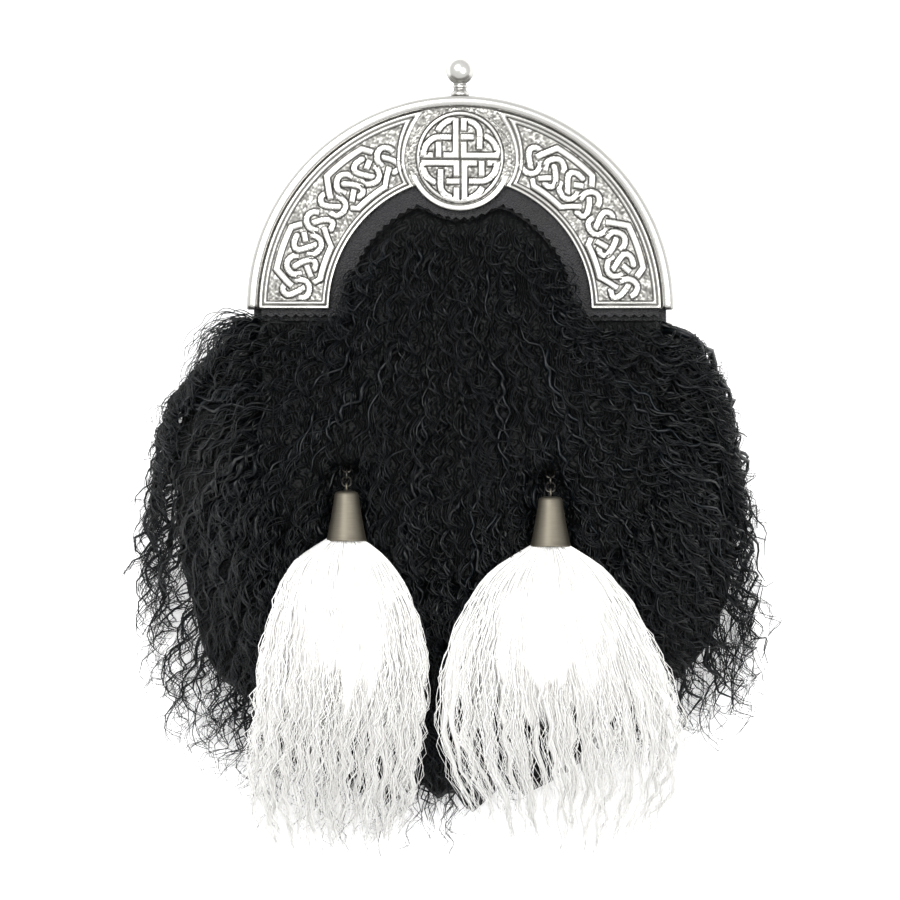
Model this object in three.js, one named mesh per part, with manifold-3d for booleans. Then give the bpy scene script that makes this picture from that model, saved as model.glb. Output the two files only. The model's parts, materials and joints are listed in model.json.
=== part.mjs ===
// A full-dress hair sporran pouch, lying on its back.
// Millimetres. +X is the wearer's left, +Y points to the knob, +Z is the front of the pouch.
// The origin is on the flat outer face of the back flap, under the centre of the cantle's arch.
import * as THREE from "three";
import { mergeVertices } from "three/addons/utils/BufferGeometryUtils.js";
import Module from "manifold-3d";

const wasm = await Module();
wasm.setup();

const { degToRad, lerp, smoothstep } = THREE.MathUtils;

// Layers of the pouch, counted up from the outer face of the back flap
const GAP = 0.3;
const LEATHER = 2.0;
const POUCH_DEPTH = 22;
const SKIN = 1.5;
const FACING = 1.4;
const BACK_Z = LEATHER + GAP;
const GUSSET_Z = BACK_Z + LEATHER + GAP;
const FRONT_Z = GUSSET_Z + POUCH_DEPTH + GAP;
const SKIN_Z = FRONT_Z + LEATHER + GAP;
const FACING_Z = SKIN_Z + SKIN + GAP;
const PLATE_Z = FACING_Z + FACING + GAP;

// Pouch outline: a half circle above, straight sides and round lower corners
const POUCH_RADIUS = 86.2;
const POUCH_BOTTOM = -118;
const POUCH_CORNER = 55;
const OUTLINE_STEPS = 6;

// Cantle
const CANTLE_RADIUS = 88.9;
const SIDE_WALL_THICK = 2.3;
const SIDE_WALL_Z = 18;
const RIM_INNER = 84.6;
const ARCH_STEPS = 26;
const PLATE_OUTER = 83.9;
const PLATE_INNER = 54.5;
const PLATE_THICK = 1.6;
const FIELD_Z = PLATE_Z + PLATE_THICK;
const RIM_Z = FIELD_Z + 2.0;
const RELIEF = 1.0;
const SUNK = 0.3;
const BORDER_LINES = [
  { inset: 0.2, width: 1.2, height: 0.8 },
  { inset: 2.3, width: 1.0, height: 0.6 },
];
const PANEL_END = { outerAngle: 79.5, innerAngle: 69.5, bow: { x: -28.8, y: 63.2 } };

// Roundel at the crown of the arch
const ROUNDEL_Y = 62.4;
const BOSS_RADIUS = 21.7;
const DISC_RADIUS = 17.3;
const DISC_RING = 1.3;
const BOSS_EDGE = 2.6;
const BOSS_RISE = 0.3;

// Strand knotwork: one repeat of the side panel's pattern, charted by hand.
// Angles are degrees from the panel's foot and radii are mm from the centre of the arch.
const STRAND_WIDTH = 2.35;
const STRAND_STEP = 4.2;
const STRIP_RADIUS = 68;
const REPEAT_ANGLE = 32.6;
const REPEATS = 2;
const RIGHT_PANEL_TURN = -109;
const PANEL_STRANDS = [
  { name: "first hook", angle: [8.0, 6.2, 4.7, 5.2, 7.6], radius: [73.8, 74.5, 72.6, 69.9, 65.9] },
  { name: "first bowl", angle: [4.1, 4.1, 7.2, 10.3, 10.2, 9.4], radius: [68.0, 65.1, 63.4, 65.7, 68.7, 69.9] },
  { name: "outer brace", corners: true, angle: [7.6, 12.2, 25.8, 28.3], radius: [70.6, 78.3, 78.2, 74.7] },
  { name: "inner brace", corners: true, angle: [9.9, 11.9, 25.8, 31.0], radius: [62.2, 59.7, 59.7, 66.3] },
  { name: "first loop", angle: [12.7, 11.7, 13.4, 15.4, 17.4, 18.4], radius: [67.5, 71.1, 74.0, 74.7, 73.2, 70.8] },
  { name: "first slant", angle: [14.5, 16.9, 18.1, 18.1, 16.9, 15.1], radius: [71.1, 68.1, 65.7, 63.9, 62.9, 63.0] },
  { name: "first stub", corners: true, angle: [15.9, 11.9], radius: [66.6, 63.3] },
  { name: "second hook", angle: [24.1, 21.6, 20.1, 20.6, 23.9], radius: [74.7, 74.5, 72.9, 70.5, 66.0] },
  { name: "second stub", corners: true, angle: [26.3, 23.4], radius: [72.6, 70.1] },
  { name: "second bowl", angle: [19.6, 20.1, 23.2, 26.3, 26.7, 26.1], radius: [68.1, 65.4, 63.4, 65.1, 68.1, 69.6] },
  { name: "second loop", angle: [28.8, 28.3, 29.5, 31.5, 33.5, 34.4], radius: [67.5, 70.8, 73.5, 74.5, 73.2, 71.1] },
  { name: "second slant", angle: [30.5, 33.0, 34.2, 34.0, 31.5], radius: [70.8, 68.1, 65.7, 63.9, 63.2] },
];

// Roundel knotwork: its upper half, in mm from the roundel's centre. The lower half is this one
// turned half round.
const ROUNDEL_STRANDS = [
  { name: "left post and foot", corners: true, x: [-1.8, -1.8, -7.1], y: [16.9, 1.7, 1.7] },
  { name: "left outer arc", x: [-1.8, -5.0, -7.9, -9.4], y: [16.3, 15.9, 13.8, 11.7] },
  { name: "left inner arc", x: [-3.5, -9.2, -11.7, -14.2, -15.2], y: [9.2, 9.2, 8.3, 5.8, 2.5] },
  { name: "left heel", corners: true, x: [-16.2, -11.3], y: [1.7, 1.7] },
  { name: "left bar", corners: true, x: [-9.0, -9.0], y: [7.3, 0.6] },
  { name: "right post", corners: true, x: [1.5, 1.5], y: [16.9, 11.7] },
  { name: "right corner", corners: true, x: [1.5, 1.5, 16.2], y: [7.3, 1.5, 1.5] },
  { name: "right end arc", x: [15.2, 15.2, 13.8, 11.7, 10.0], y: [1.8, 4.2, 7.1, 9.0, 9.6] },
  { name: "right outer arc", x: [1.5, 4.2, 6.7, 8.1, 8.1], y: [15.9, 15.7, 14.2, 11.2, 4.0] },
  { name: "right bar", corners: true, x: [0.2, 5.8], y: [9.2, 9.2] },
];

// Leather facing with its pinked edge
const FACING_OUTER = 83;
const FACING_INNER = 46;
const FACING_FOOT = -3.7;
const FACING_DIP = 25.4;
const TOOTH_PITCH = 4.0;
const TOOTH_DEPTH = 1.2;

// Finial
const FINIAL_Z = 27;
const FINIAL_PROFILE = [
  { y: 0, radius: 3.8 },
  { y: 1.6, radius: 3.8 },
  { y: 2.2, radius: 2.8 },
  { y: 3.2, radius: 2.6 },
  { y: 3.8, radius: 2.9 },
  { y: 4.6, radius: 2.9 },
];
const BALL_RADIUS = 6.0;
const BALL_CENTRE_Y = 10.8;
const BALL_ROWS = 7;

// Back of the pouch
const MOUTH = { width: 120, height: 16, y: -6 };
const FLAP = { halfWidth: 68, top: 14, bottom: -42, corner: 22 };
const STUD = { y: -30, capRadius: 5.4, postRadius: 2.0, clearance: 0.4 };
const RING_X = 42;
const RING_BAR_Y = 48;
const RING = { width: 22, height: 14, wire: 1.25 };
const TAB = { width: 16, length: 27, leather: 1.8, eye: 1.6 };

// Sheepskin: the height of its hair, and its outline, in mm from the centre of the arch
const FLOOR_Z = -4.8;
const HAIR_TOP = SKIN_Z + SKIN + 12;
const MAT_TOP = SKIN_Z + SKIN + 5;
const MAT_EDGE = 1.0;
const LOCK_SIDES = 5;
const FUR_OUTLINE = [
  { y: 40, left: -14, right: 14 },
  { y: -5, left: -92, right: 94 },
  { y: -38, left: -118, right: 108 },
  { y: -71, left: -127, right: 115 },
  { y: -105, left: -132, right: 120 },
  { y: -138, left: -125, right: 123 },
  { y: -172, left: -110, right: 117 },
  { y: -205, left: -101, right: 92 },
  { y: -226, left: -80, right: 60 },
];
const FUR_TIERS = [
  { name: "bib", from: 30, to: -52, rootHalf: 30, spread: 0.5, locks: 4, width: 10, thick: 3.2, sink: 0 },
  { name: "upper", from: -10, to: -100, rootHalf: 76, spread: 0.96, locks: 6, width: 15, thick: 3.8, sink: 0.8 },
  { name: "middle", from: -55, to: -150, rootHalf: 76, spread: 0.94, locks: 6, width: 16.5, thick: 3.8, sink: 1.6 },
  { name: "fringe", from: -98, to: -206, rootHalf: 66, spread: 0.93, locks: 8, width: 14.5, thick: 3.4, sink: 2.0 },
];

// Dense wool that hangs from the skin's edge to the table: its section runs outward from the pouch
const SKIRT = { top: -8, sideRows: 2, wall: 1.2, lap: 3, reach: 38, margin: 2, under: 5.8, low: 4, foot: 0.6 };

// Beds pressed into the hair: for a cone with its chain, and for the head of the white hair
const CONE_BED = { halfWidth: 10, below: 4, above: 5, clear: 0.2 };
const HEAD_BED = { halfWidth: 27, length: 25, clear: 0.6 };

// Tassels: the cone's axis, and the outline of the white hair, each lying over the sheepskin
const CONE = { length: 20.5, topRadius: 5.0, bottomRadius: 8.4, wall: 0.8, lip: 0.3, lipHeight: 1.0, roof: 2.4, z: 42 };
const EYE = { radius: 1.7, wire: 0.45 };
const LINK = { width: 4.6, length: 5.8, wire: 0.45, count: 3 };
const CHAIN_SLACK = 0.25;
const ANCHOR = { radius: 3.0, height: 0.8 };
const TASSELS = [
  {
    side: "left",
    x: -47.2,
    coneTop: -76.2,
    outline: [
      { y: -105, left: -64, right: -32 },
      { y: -121, left: -76, right: -22 },
      { y: -150, left: -81, right: -13.5 },
      { y: -180, left: -86, right: -13.5 },
      { y: -223, left: -84, right: -26 },
    ],
  },
  {
    side: "right",
    x: 37.6,
    coneTop: -78.5,
    outline: [
      { y: -107, left: 16, right: 56 },
      { y: -121, left: 6, right: 68 },
      { y: -150, left: -6, right: 84 },
      { y: -180, left: -8.5, right: 94 },
      { y: -220, left: 10, right: 80 },
    ],
  },
];
const TASSEL_LOCKS = 5;
const HEAD = { clear: 1.0, taper: 1.6, length: 12, inside: 10.5 };
const HAIR_REST = 1.2;
const HAIR_THICK = { root: 11, tip: 2 };

// Colours
const PEWTER = new THREE.MeshStandardMaterial({ color: 0xb9b8b4, roughness: 0.34, metalness: 1 });
const NICKEL = new THREE.MeshStandardMaterial({ color: 0xa9a59b, roughness: 0.3, metalness: 1 });
const BLACK_LEATHER = new THREE.MeshStandardMaterial({ color: 0x1b1c1f, roughness: 0.6, metalness: 0 });
const BLACK_WOOL = new THREE.MeshStandardMaterial({ color: 0x0d0e11, roughness: 0.7, metalness: 0 });
const WHITE_HAIR = new THREE.MeshStandardMaterial({ color: 0xf0efec, roughness: 0.8, metalness: 0 });

// Small helpers

function solid(geometry) {
  const bare = geometry.clone();
  bare.deleteAttribute("normal");
  bare.deleteAttribute("uv");
  const merged = mergeVertices(bare, 1e-4);
  const vertProperties = Float32Array.from(merged.attributes.position.array);
  const triVerts = Uint32Array.from(merged.index.array);
  return new wasm.Manifold(new wasm.Mesh({ numProp: 3, vertProperties, triVerts }));
}

function joined(geometries) {
  return geometries.map(solid).reduce((body, part) => body.add(part));
}

function geometryOf(body) {
  const { vertProperties, triVerts } = body.getMesh();
  const geometry = new THREE.BufferGeometry();
  geometry.setAttribute("position", new THREE.BufferAttribute(Float32Array.from(vertProperties), 3));
  geometry.setIndex(new THREE.BufferAttribute(Uint32Array.from(triVerts), 1));
  geometry.computeVertexNormals();
  return geometry;
}

function named(name, geometry, material) {
  const mesh = new THREE.Mesh(geometry, material);
  mesh.name = name;
  return mesh;
}

function plate(shape, z, depth, curveSegments = 6) {
  const geometry = new THREE.ExtrudeGeometry(shape, { depth, curveSegments, bevelEnabled: false });
  return geometry.translate(0, 0, z);
}

function box(xRange, yRange, zRange) {
  const size = [xRange, yRange, zRange].map(([low, high]) => high - low);
  const middle = [xRange, yRange, zRange].map(([low, high]) => (low + high) / 2);
  return new THREE.BoxGeometry(...size).translate(...middle);
}

// A round wire bent round a flat closed path, in the XY plane
function wireLoop(path, wire, sides, count) {
  const points = path.getSpacedPoints(count).slice(0, count);
  const loopRadius = 10;
  const geometry = new THREE.TorusGeometry(loopRadius, wire, sides, count);
  const position = geometry.attributes.position;
  for (let i = 0; i < position.count; i += 1) {
    const x = position.getX(i);
    const y = position.getY(i);
    const turn = (Math.atan2(y, x) / (2 * Math.PI) + 1) % 1;
    const step = Math.round(turn * count) % count;
    const before = points[(step + count - 1) % count];
    const after = points[(step + 1) % count];
    const along = after.clone().sub(before).normalize();
    const outward = new THREE.Vector2(along.y, -along.x);
    const place = points[step].clone().addScaledVector(outward, Math.hypot(x, y) - loopRadius);
    position.setXY(i, place.x, place.y);
  }
  return geometry;
}

function stadium(width, length) {
  const end = width / 2;
  const straight = length / 2 - end;
  const path = new THREE.Shape();
  path.absarc(0, straight, end, 0, Math.PI);
  path.absarc(0, -straight, end, Math.PI, 2 * Math.PI);
  path.closePath();
  return path;
}

// Pouch

function pouchOutline(inset) {
  const radius = POUCH_RADIUS - inset;
  const bottom = POUCH_BOTTOM + inset;
  const corner = POUCH_CORNER - inset;
  const shape = new THREE.Shape();
  shape.absarc(0, 0, radius, 0, Math.PI);
  shape.absarc(-radius + corner, bottom + corner, corner, Math.PI, 1.5 * Math.PI);
  shape.absarc(radius - corner, bottom + corner, corner, 1.5 * Math.PI, 2 * Math.PI);
  shape.closePath();
  return shape;
}

function frontPanel() {
  return plate(pouchOutline(0), FRONT_Z, LEATHER, OUTLINE_STEPS);
}

function gusset() {
  const wall = pouchOutline(0);
  wall.holes.push(pouchOutline(LEATHER));
  return plate(wall, GUSSET_Z, POUCH_DEPTH, OUTLINE_STEPS);
}

function backPanel() {
  const panel = pouchOutline(0);
  const mouth = new THREE.Path();
  const end = MOUTH.height / 2;
  const reach = MOUTH.width / 2 - end;
  mouth.absarc(reach, MOUTH.y, end, -Math.PI / 2, Math.PI / 2);
  mouth.absarc(-reach, MOUTH.y, end, Math.PI / 2, 1.5 * Math.PI);
  mouth.closePath();
  const postHole = new THREE.Path();
  postHole.absarc(0, STUD.y, STUD.postRadius + STUD.clearance, 0, 2 * Math.PI);
  panel.holes.push(mouth, postHole);
  return plate(panel, BACK_Z, LEATHER, OUTLINE_STEPS);
}

function backFlap() {
  const { halfWidth, top, bottom, corner } = FLAP;
  const flap = new THREE.Shape();
  flap.moveTo(halfWidth, top);
  flap.lineTo(-halfWidth, top);
  flap.absarc(-halfWidth + corner, bottom + corner, corner, Math.PI, 1.5 * Math.PI);
  flap.absarc(halfWidth - corner, bottom + corner, corner, 1.5 * Math.PI, 2 * Math.PI);
  flap.closePath();
  const capHole = new THREE.Path();
  capHole.absarc(0, STUD.y, STUD.capRadius + STUD.clearance, 0, 2 * Math.PI);
  flap.holes.push(capHole);
  return plate(flap, 0, LEATHER, 5);
}

function snapStud() {
  const face = 0.2;
  const shoulder = LEATHER - 0.1;
  const tip = BACK_Z + LEATHER - 0.2;
  const profile = [
    [0, face], [STUD.capRadius - 0.8, face], [STUD.capRadius, face + 0.6], [STUD.capRadius, shoulder],
    [STUD.postRadius, shoulder], [STUD.postRadius, tip], [0, tip],
  ];
  const points = profile.map(([radius, height]) => new THREE.Vector2(radius, height));
  const geometry = new THREE.LatheGeometry(points, 12);
  return geometry.rotateX(Math.PI / 2).translate(0, STUD.y, 0);
}

// A leather tab: a strip under the back panel whose upper end is folded round the ring's bar
function ringTab(x) {
  const top = BACK_Z - GAP;
  const outer = TAB.eye + TAB.leather;
  const centre = top - outer;
  const meets = Math.PI - Math.asin((outer - TAB.leather) / outer);
  const side = new THREE.Shape();
  side.moveTo(RING_BAR_Y - TAB.length, top);
  side.lineTo(RING_BAR_Y, top);
  side.absarc(RING_BAR_Y, centre, outer, Math.PI / 2, meets - 2 * Math.PI, true);
  side.lineTo(RING_BAR_Y - TAB.length, top - TAB.leather);
  side.closePath();
  const eye = new THREE.Path();
  eye.absarc(RING_BAR_Y, centre, TAB.eye, 0, 2 * Math.PI);
  side.holes.push(eye);
  const geometry = plate(side, -TAB.width / 2, TAB.width, 5);
  return geometry.rotateX(Math.PI / 2).rotateZ(Math.PI / 2).translate(x, 0, 0);
}

function beltRing(x) {
  const half = RING.width / 2;
  const path = new THREE.Shape();
  path.moveTo(-half, 0);
  path.lineTo(half, 0);
  path.bezierCurveTo(half, RING.height, half / 2, RING.height, 0, RING.height);
  path.bezierCurveTo(-half / 2, RING.height, -half, RING.height, -half, 0);
  const geometry = wireLoop(path, RING.wire, 5, 14);
  return geometry.translate(x, RING_BAR_Y, BACK_Z - GAP - TAB.eye - TAB.leather);
}

// Leather facing

// The distance from the arch's centre to the facing's lower edge, round the foot of the roundel
function innerEdge(angle) {
  const height = ROUNDEL_Y * Math.sin(angle);
  const across = ROUNDEL_Y * Math.cos(angle);
  const reach = FACING_DIP ** 2 - across ** 2;
  if (reach <= 0) return FACING_INNER;
  return Math.min(FACING_INNER, height - Math.sqrt(reach));
}

function leatherTrim() {
  const teeth = Math.round((Math.PI * FACING_INNER) / TOOTH_PITCH);
  const footTeeth = Math.round((FACING_OUTER - FACING_INNER) / TOOTH_PITCH);
  const points = [];
  for (let i = 0; i <= 2 * footTeeth; i += 1) {
    const x = lerp(FACING_OUTER, FACING_INNER, i / (2 * footTeeth));
    points.push(new THREE.Vector2(x, FACING_FOOT + (i % 2) * TOOTH_DEPTH));
  }
  for (let i = 1; i < 2 * teeth; i += 1) {
    const angle = (Math.PI * i) / (2 * teeth);
    const radius = innerEdge(angle) + (i % 2) * TOOTH_DEPTH;
    points.push(new THREE.Vector2(radius * Math.cos(angle), radius * Math.sin(angle)));
  }
  for (let i = 0; i <= 2 * footTeeth; i += 1) {
    const x = lerp(-FACING_INNER, -FACING_OUTER, i / (2 * footTeeth));
    points.push(new THREE.Vector2(x, FACING_FOOT + (i % 2) * TOOTH_DEPTH));
  }
  const shape = new THREE.Shape(points);
  shape.absarc(0, 0, FACING_OUTER, Math.PI, 0, true);
  shape.closePath();
  return plate(shape, FACING_Z, FACING, 10);
}

// Cantle

function halfRing(inner, outer) {
  const shape = new THREE.Shape();
  shape.absarc(0, 0, outer, 0, Math.PI);
  shape.absarc(0, 0, inner, Math.PI, 0, true);
  shape.closePath();
  return shape;
}

class Arch extends THREE.Curve {
  getPoint(t, target = new THREE.Vector3()) {
    const angle = Math.PI * t;
    return target.set(CANTLE_RADIUS * Math.cos(angle), CANTLE_RADIUS * Math.sin(angle), 0);
  }
}

// A section of radius and height, swept round the arch
function sweptRound(section) {
  const shape = new THREE.Shape(section.map(([radius, z]) => new THREE.Vector2(-z, CANTLE_RADIUS - radius)));
  return new THREE.ExtrudeGeometry(shape, { steps: ARCH_STEPS, extrudePath: new Arch() });
}

function rim() {
  const wall = CANTLE_RADIUS - SIDE_WALL_THICK;
  return sweptRound([
    [wall, SIDE_WALL_Z], [CANTLE_RADIUS, SIDE_WALL_Z], [CANTLE_RADIUS, RIM_Z - 1.5],
    [CANTLE_RADIUS - 0.9, RIM_Z - 0.2], [CANTLE_RADIUS - 2.9, RIM_Z], [RIM_INNER, RIM_Z - 1.3],
    [RIM_INNER, PLATE_Z], [wall, PLATE_Z],
  ]);
}

// The outline of the left panel, drawn in by an inset
function panelOutline(inset) {
  const outer = PLATE_OUTER - inset;
  const inner = PLATE_INNER + inset;
  const shape = new THREE.Shape();
  const outerFoot = Math.PI - inset / outer;
  const innerFoot = Math.PI - inset / inner;
  const outerEnd = Math.PI - degToRad(PANEL_END.outerAngle) + (2 * inset) / outer;
  const innerEnd = Math.PI - degToRad(PANEL_END.innerAngle) + inset / inner;
  shape.absarc(0, 0, outer, outerEnd, outerFoot);
  shape.absarc(0, 0, inner, innerFoot, innerEnd, true);
  const end = [outer * Math.cos(outerEnd), outer * Math.sin(outerEnd)];
  shape.quadraticCurveTo(PANEL_END.bow.x - inset, PANEL_END.bow.y, ...end);
  return shape;
}

// The borders of both panels: turned over about the Y axis, a left border becomes the right one
function panelBorders() {
  return BORDER_LINES.flatMap(({ inset, width, height }) => {
    const frame = panelOutline(inset);
    frame.holes.push(panelOutline(inset + width));
    const left = plate(frame, FIELD_Z - SUNK, SUNK + height, 4);
    const right = left.clone().rotateY(Math.PI).translate(0, 0, 2 * FIELD_Z + height - SUNK);
    return [left, right];
  });
}

// Both edges of a strand of even width, from its centre line
function strandOutline(line, width) {
  const edge = (sign) => line.map((point, i) => {
    const before = line[Math.max(i - 1, 0)];
    const after = line[Math.min(i + 1, line.length - 1)];
    const into = point.clone().sub(before).normalize();
    const out = after.clone().sub(point).normalize();
    const along = into.clone().add(out).normalize();
    const square = i === 0 || i === line.length - 1;
    const mitre = square ? 1 : Math.max(0.5, along.dot(out));
    const normal = new THREE.Vector2(-along.y, along.x);
    return point.clone().addScaledVector(normal, (sign * width) / 2 / mitre);
  });
  return [...edge(-1), ...edge(1).reverse()];
}

function strandLine(points, corners) {
  if (!corners) {
    const curve = new THREE.SplineCurve(points);
    return curve.getSpacedPoints(Math.ceil(curve.getLength() / STRAND_STEP));
  }
  const line = [points[0]];
  for (let i = 1; i < points.length; i += 1) {
    const cuts = Math.ceil(points[i].distanceTo(points[i - 1]) / (3 * STRAND_STEP));
    for (let cut = 1; cut <= cuts; cut += 1) {
      line.push(points[i - 1].clone().lerp(points[i], cut / cuts));
    }
  }
  return line;
}

function panelKnots() {
  const strands = [];
  for (const { angle, radius, corners } of PANEL_STRANDS) {
    const strip = angle.map((degrees, i) => new THREE.Vector2(degToRad(degrees) * STRIP_RADIUS, radius[i]));
    const outline = strandOutline(strandLine(strip, corners), STRAND_WIDTH);
    for (const turn of [0, RIGHT_PANEL_TURN]) {
      for (let repeat = 0; repeat < REPEATS; repeat += 1) {
        const start = 180 - repeat * REPEAT_ANGLE + turn;
        const bent = outline.map(({ x, y }) => {
          const bearing = degToRad(start) - x / STRIP_RADIUS;
          return new THREE.Vector2(y * Math.cos(bearing), y * Math.sin(bearing));
        });
        strands.push(plate(new THREE.Shape(bent), FIELD_Z - SUNK, SUNK + RELIEF));
      }
    }
  }
  return strands;
}

function ring(outer, inner) {
  const shape = new THREE.Shape();
  shape.absarc(0, ROUNDEL_Y, outer, 0, 2 * Math.PI);
  const hole = new THREE.Path();
  hole.absarc(0, ROUNDEL_Y, inner, 0, 2 * Math.PI);
  shape.holes.push(hole);
  return shape;
}

function roundel() {
  const disc = new THREE.Shape();
  disc.absarc(0, ROUNDEL_Y, BOSS_RADIUS, 0, 2 * Math.PI);
  const pieces = [
    plate(disc, PLATE_Z, PLATE_THICK + BOSS_RISE, 12),
    plate(ring(DISC_RADIUS + DISC_RING, DISC_RADIUS), FIELD_Z, RELIEF, 12),
    plate(ring(BOSS_RADIUS, BOSS_RADIUS - BOSS_EDGE), FIELD_Z, RELIEF, 12),
  ];
  for (const { x, y, corners } of ROUNDEL_STRANDS) {
    const line = strandLine(x.map((value, i) => new THREE.Vector2(value, y[i])), corners);
    const strand = plate(new THREE.Shape(strandOutline(line, STRAND_WIDTH)), FIELD_Z, BOSS_RISE + RELIEF);
    const turned = strand.clone().rotateZ(Math.PI);
    pieces.push(strand.translate(0, ROUNDEL_Y, 0), turned.translate(0, ROUNDEL_Y, 0));
  }
  return pieces;
}

function cantle() {
  const base = plate(halfRing(PLATE_INNER, RIM_INNER + 1), PLATE_Z, PLATE_THICK, ARCH_STEPS / 2);
  return geometryOf(joined([base, rim(), ...panelBorders(), ...panelKnots(), ...roundel()]));
}

function finial() {
  const profile = [new THREE.Vector2(0, 0), ...FINIAL_PROFILE.map(({ y, radius }) => new THREE.Vector2(radius, y))];
  const neck = Math.asin(FINIAL_PROFILE.at(-1).radius / BALL_RADIUS);
  for (let i = 0; i <= BALL_ROWS; i += 1) {
    const angle = lerp(Math.PI - neck, 0, i / BALL_ROWS);
    profile.push(new THREE.Vector2(BALL_RADIUS * Math.sin(angle), BALL_CENTRE_Y + BALL_RADIUS * Math.cos(angle)));
  }
  profile.at(-1).x = 0;
  return new THREE.LatheGeometry(profile, 10).translate(0, CANTLE_RADIUS + GAP, FINIAL_Z);
}

// Hair in locks

function rowAt(rows, y) {
  const next = rows.findIndex((row) => row.y <= y);
  if (next === 0) return rows[0];
  if (next < 0) return rows.at(-1);
  const [high, low] = [rows[next - 1], rows[next]];
  const part = (y - high.y) / (low.y - high.y);
  return { y, left: lerp(high.left, low.left, part), right: lerp(high.right, low.right, part) };
}

// The height of the top of the black hair, level over the pouch and falling to the floor round it
function drape(x, y) {
  const across = Math.max(0, Math.abs(x) - 60) / 74;
  const down = Math.max(0, -y - 60) / 165;
  return lerp(HAIR_TOP, FLOOR_Z + 7, smoothstep(Math.hypot(across, down), 0.42, 1.08));
}

// One tapered lock: a closed cylinder bent along its stations
function lock(stations, sides) {
  const last = stations.length - 1;
  const geometry = new THREE.CylinderGeometry(1, 1, 1, sides, last);
  const position = geometry.attributes.position;
  const up = new THREE.Vector3(0, 0, 1);
  for (let i = 0; i < position.count; i += 1) {
    const index = Math.round((0.5 - position.getY(i)) * last);
    const { centre, width, thick } = stations[index];
    const ahead = stations[Math.min(index + 1, last)].centre;
    const behind = stations[Math.max(index - 1, 0)].centre;
    const along = ahead.clone().sub(behind).normalize();
    const side = up.clone().cross(along).normalize();
    const over = along.clone().cross(side);
    const place = centre.clone();
    place.addScaledVector(side, position.getX(i) * width).addScaledVector(over, position.getZ(i) * thick);
    position.setXYZ(i, place.x, place.y, place.z);
  }
  return geometry;
}

function furLock(tier, across, index) {
  const stations = [];
  const steps = 4;
  const wave = index % 2 === 0 ? 1 : -1;
  for (let i = 0; i <= steps; i += 1) {
    const t = i / steps;
    const y = lerp(tier.from, tier.to - 8 * wave * (1 - across ** 2), t);
    const row = rowAt(FUR_OUTLINE, y);
    const outlineX = (row.left + row.right) / 2 + (across * tier.spread * (row.right - row.left)) / 2;
    const x = lerp(across * tier.rootHalf, outlineX, smoothstep(t, 0, 0.5)) + 2 * wave * Math.sin(5 * t);
    const taper = i === 0 ? 0.25 : lerp(1, 0.3, t ** 2);
    const thick = i === 0 ? 0.5 : tier.thick * lerp(1, 0.35, t ** 2);
    const z = i === 0 ? SKIN_Z + SKIN / 2 : Math.max(drape(x, y) - thick - tier.sink, FLOOR_Z + thick);
    stations.push({ centre: new THREE.Vector3(x, y, z), width: tier.width * taper, thick });
  }
  return lock(stations, LOCK_SIDES);
}

function matOutline() {
  const inner = FACING_INNER - TOOTH_DEPTH - MAT_EDGE;
  const side = POUCH_RADIUS - MAT_EDGE;
  const bottom = POUCH_BOTTOM + MAT_EDGE;
  const corner = POUCH_CORNER - MAT_EDGE;
  const top = FACING_FOOT - 1.5 * MAT_EDGE;
  const shape = new THREE.Shape();
  shape.moveTo(side, top);
  shape.lineTo(inner, top);
  const steps = 12;
  for (let i = 0; i <= steps; i += 1) {
    const angle = (Math.PI * i) / steps;
    const radius = innerEdge(angle) - (FACING_INNER - inner);
    shape.lineTo(radius * Math.cos(angle), radius * Math.sin(angle));
  }
  shape.lineTo(-inner, top);
  shape.lineTo(-side, top);
  shape.absarc(-side + corner, bottom + corner, corner, Math.PI, 1.5 * Math.PI);
  shape.absarc(side - corner, bottom + corner, corner, 1.5 * Math.PI, 2 * Math.PI);
  shape.closePath();
  return shape;
}

// Places down the left side of the pouch, round its bottom and up the right side, each with the
// direction that points away from the pouch
function skirtRows() {
  const straight = POUCH_BOTTOM + POUCH_CORNER;
  const middle = POUCH_RADIUS - POUCH_CORNER;
  const left = [];
  for (let i = 0; i < SKIRT.sideRows; i += 1) {
    left.push({ x: -POUCH_RADIUS, y: lerp(SKIRT.top, straight, i / SKIRT.sideRows), bearing: Math.PI });
  }
  const turns = OUTLINE_STEPS;
  for (let i = 0; i <= turns; i += 1) {
    const bearing = Math.PI * (1 + i / turns / 2);
    const x = -middle + POUCH_CORNER * Math.cos(bearing);
    left.push({ x, y: straight + POUCH_CORNER * Math.sin(bearing), bearing });
  }
  const right = left.map(({ x, y, bearing }) => ({ x: -x, y, bearing: 3 * Math.PI - bearing }));
  return [...left, ...right.reverse()];
}

// The skirt's section at one place: the points are away from the pouch and up. It stays inside the
// outline of the hair and under its top
function skirtSection({ x, y, bearing }) {
  const away = new THREE.Vector2(Math.cos(bearing), Math.sin(bearing));
  const edge = rowAt(FUR_OUTLINE, y + away.y * SKIRT.reach);
  const room = (away.x < 0 ? x - edge.left : edge.right - x) - SKIRT.margin;
  const reach = Math.min(SKIRT.reach, room / Math.abs(away.x));
  const { wall, lap, under, low } = SKIRT;
  const foot = FLOOR_Z + SKIRT.foot;
  const top = (distance) => Math.max(drape(x + away.x * distance, y + away.y * distance) - under, foot + low);
  const outline = [
    [wall, foot], [wall, SKIN_Z + GAP], [-lap, SKIN_Z + GAP], [-lap, MAT_TOP - GAP],
    [reach / 2, top(reach / 2)], [0.9 * reach, top(0.9 * reach)], [reach, lerp(foot, top(reach), 0.5)],
    [0.9 * reach, foot],
  ];
  return outline.map(([distance, z]) => new THREE.Vector3(x + away.x * distance, y + away.y * distance, z));
}

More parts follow.
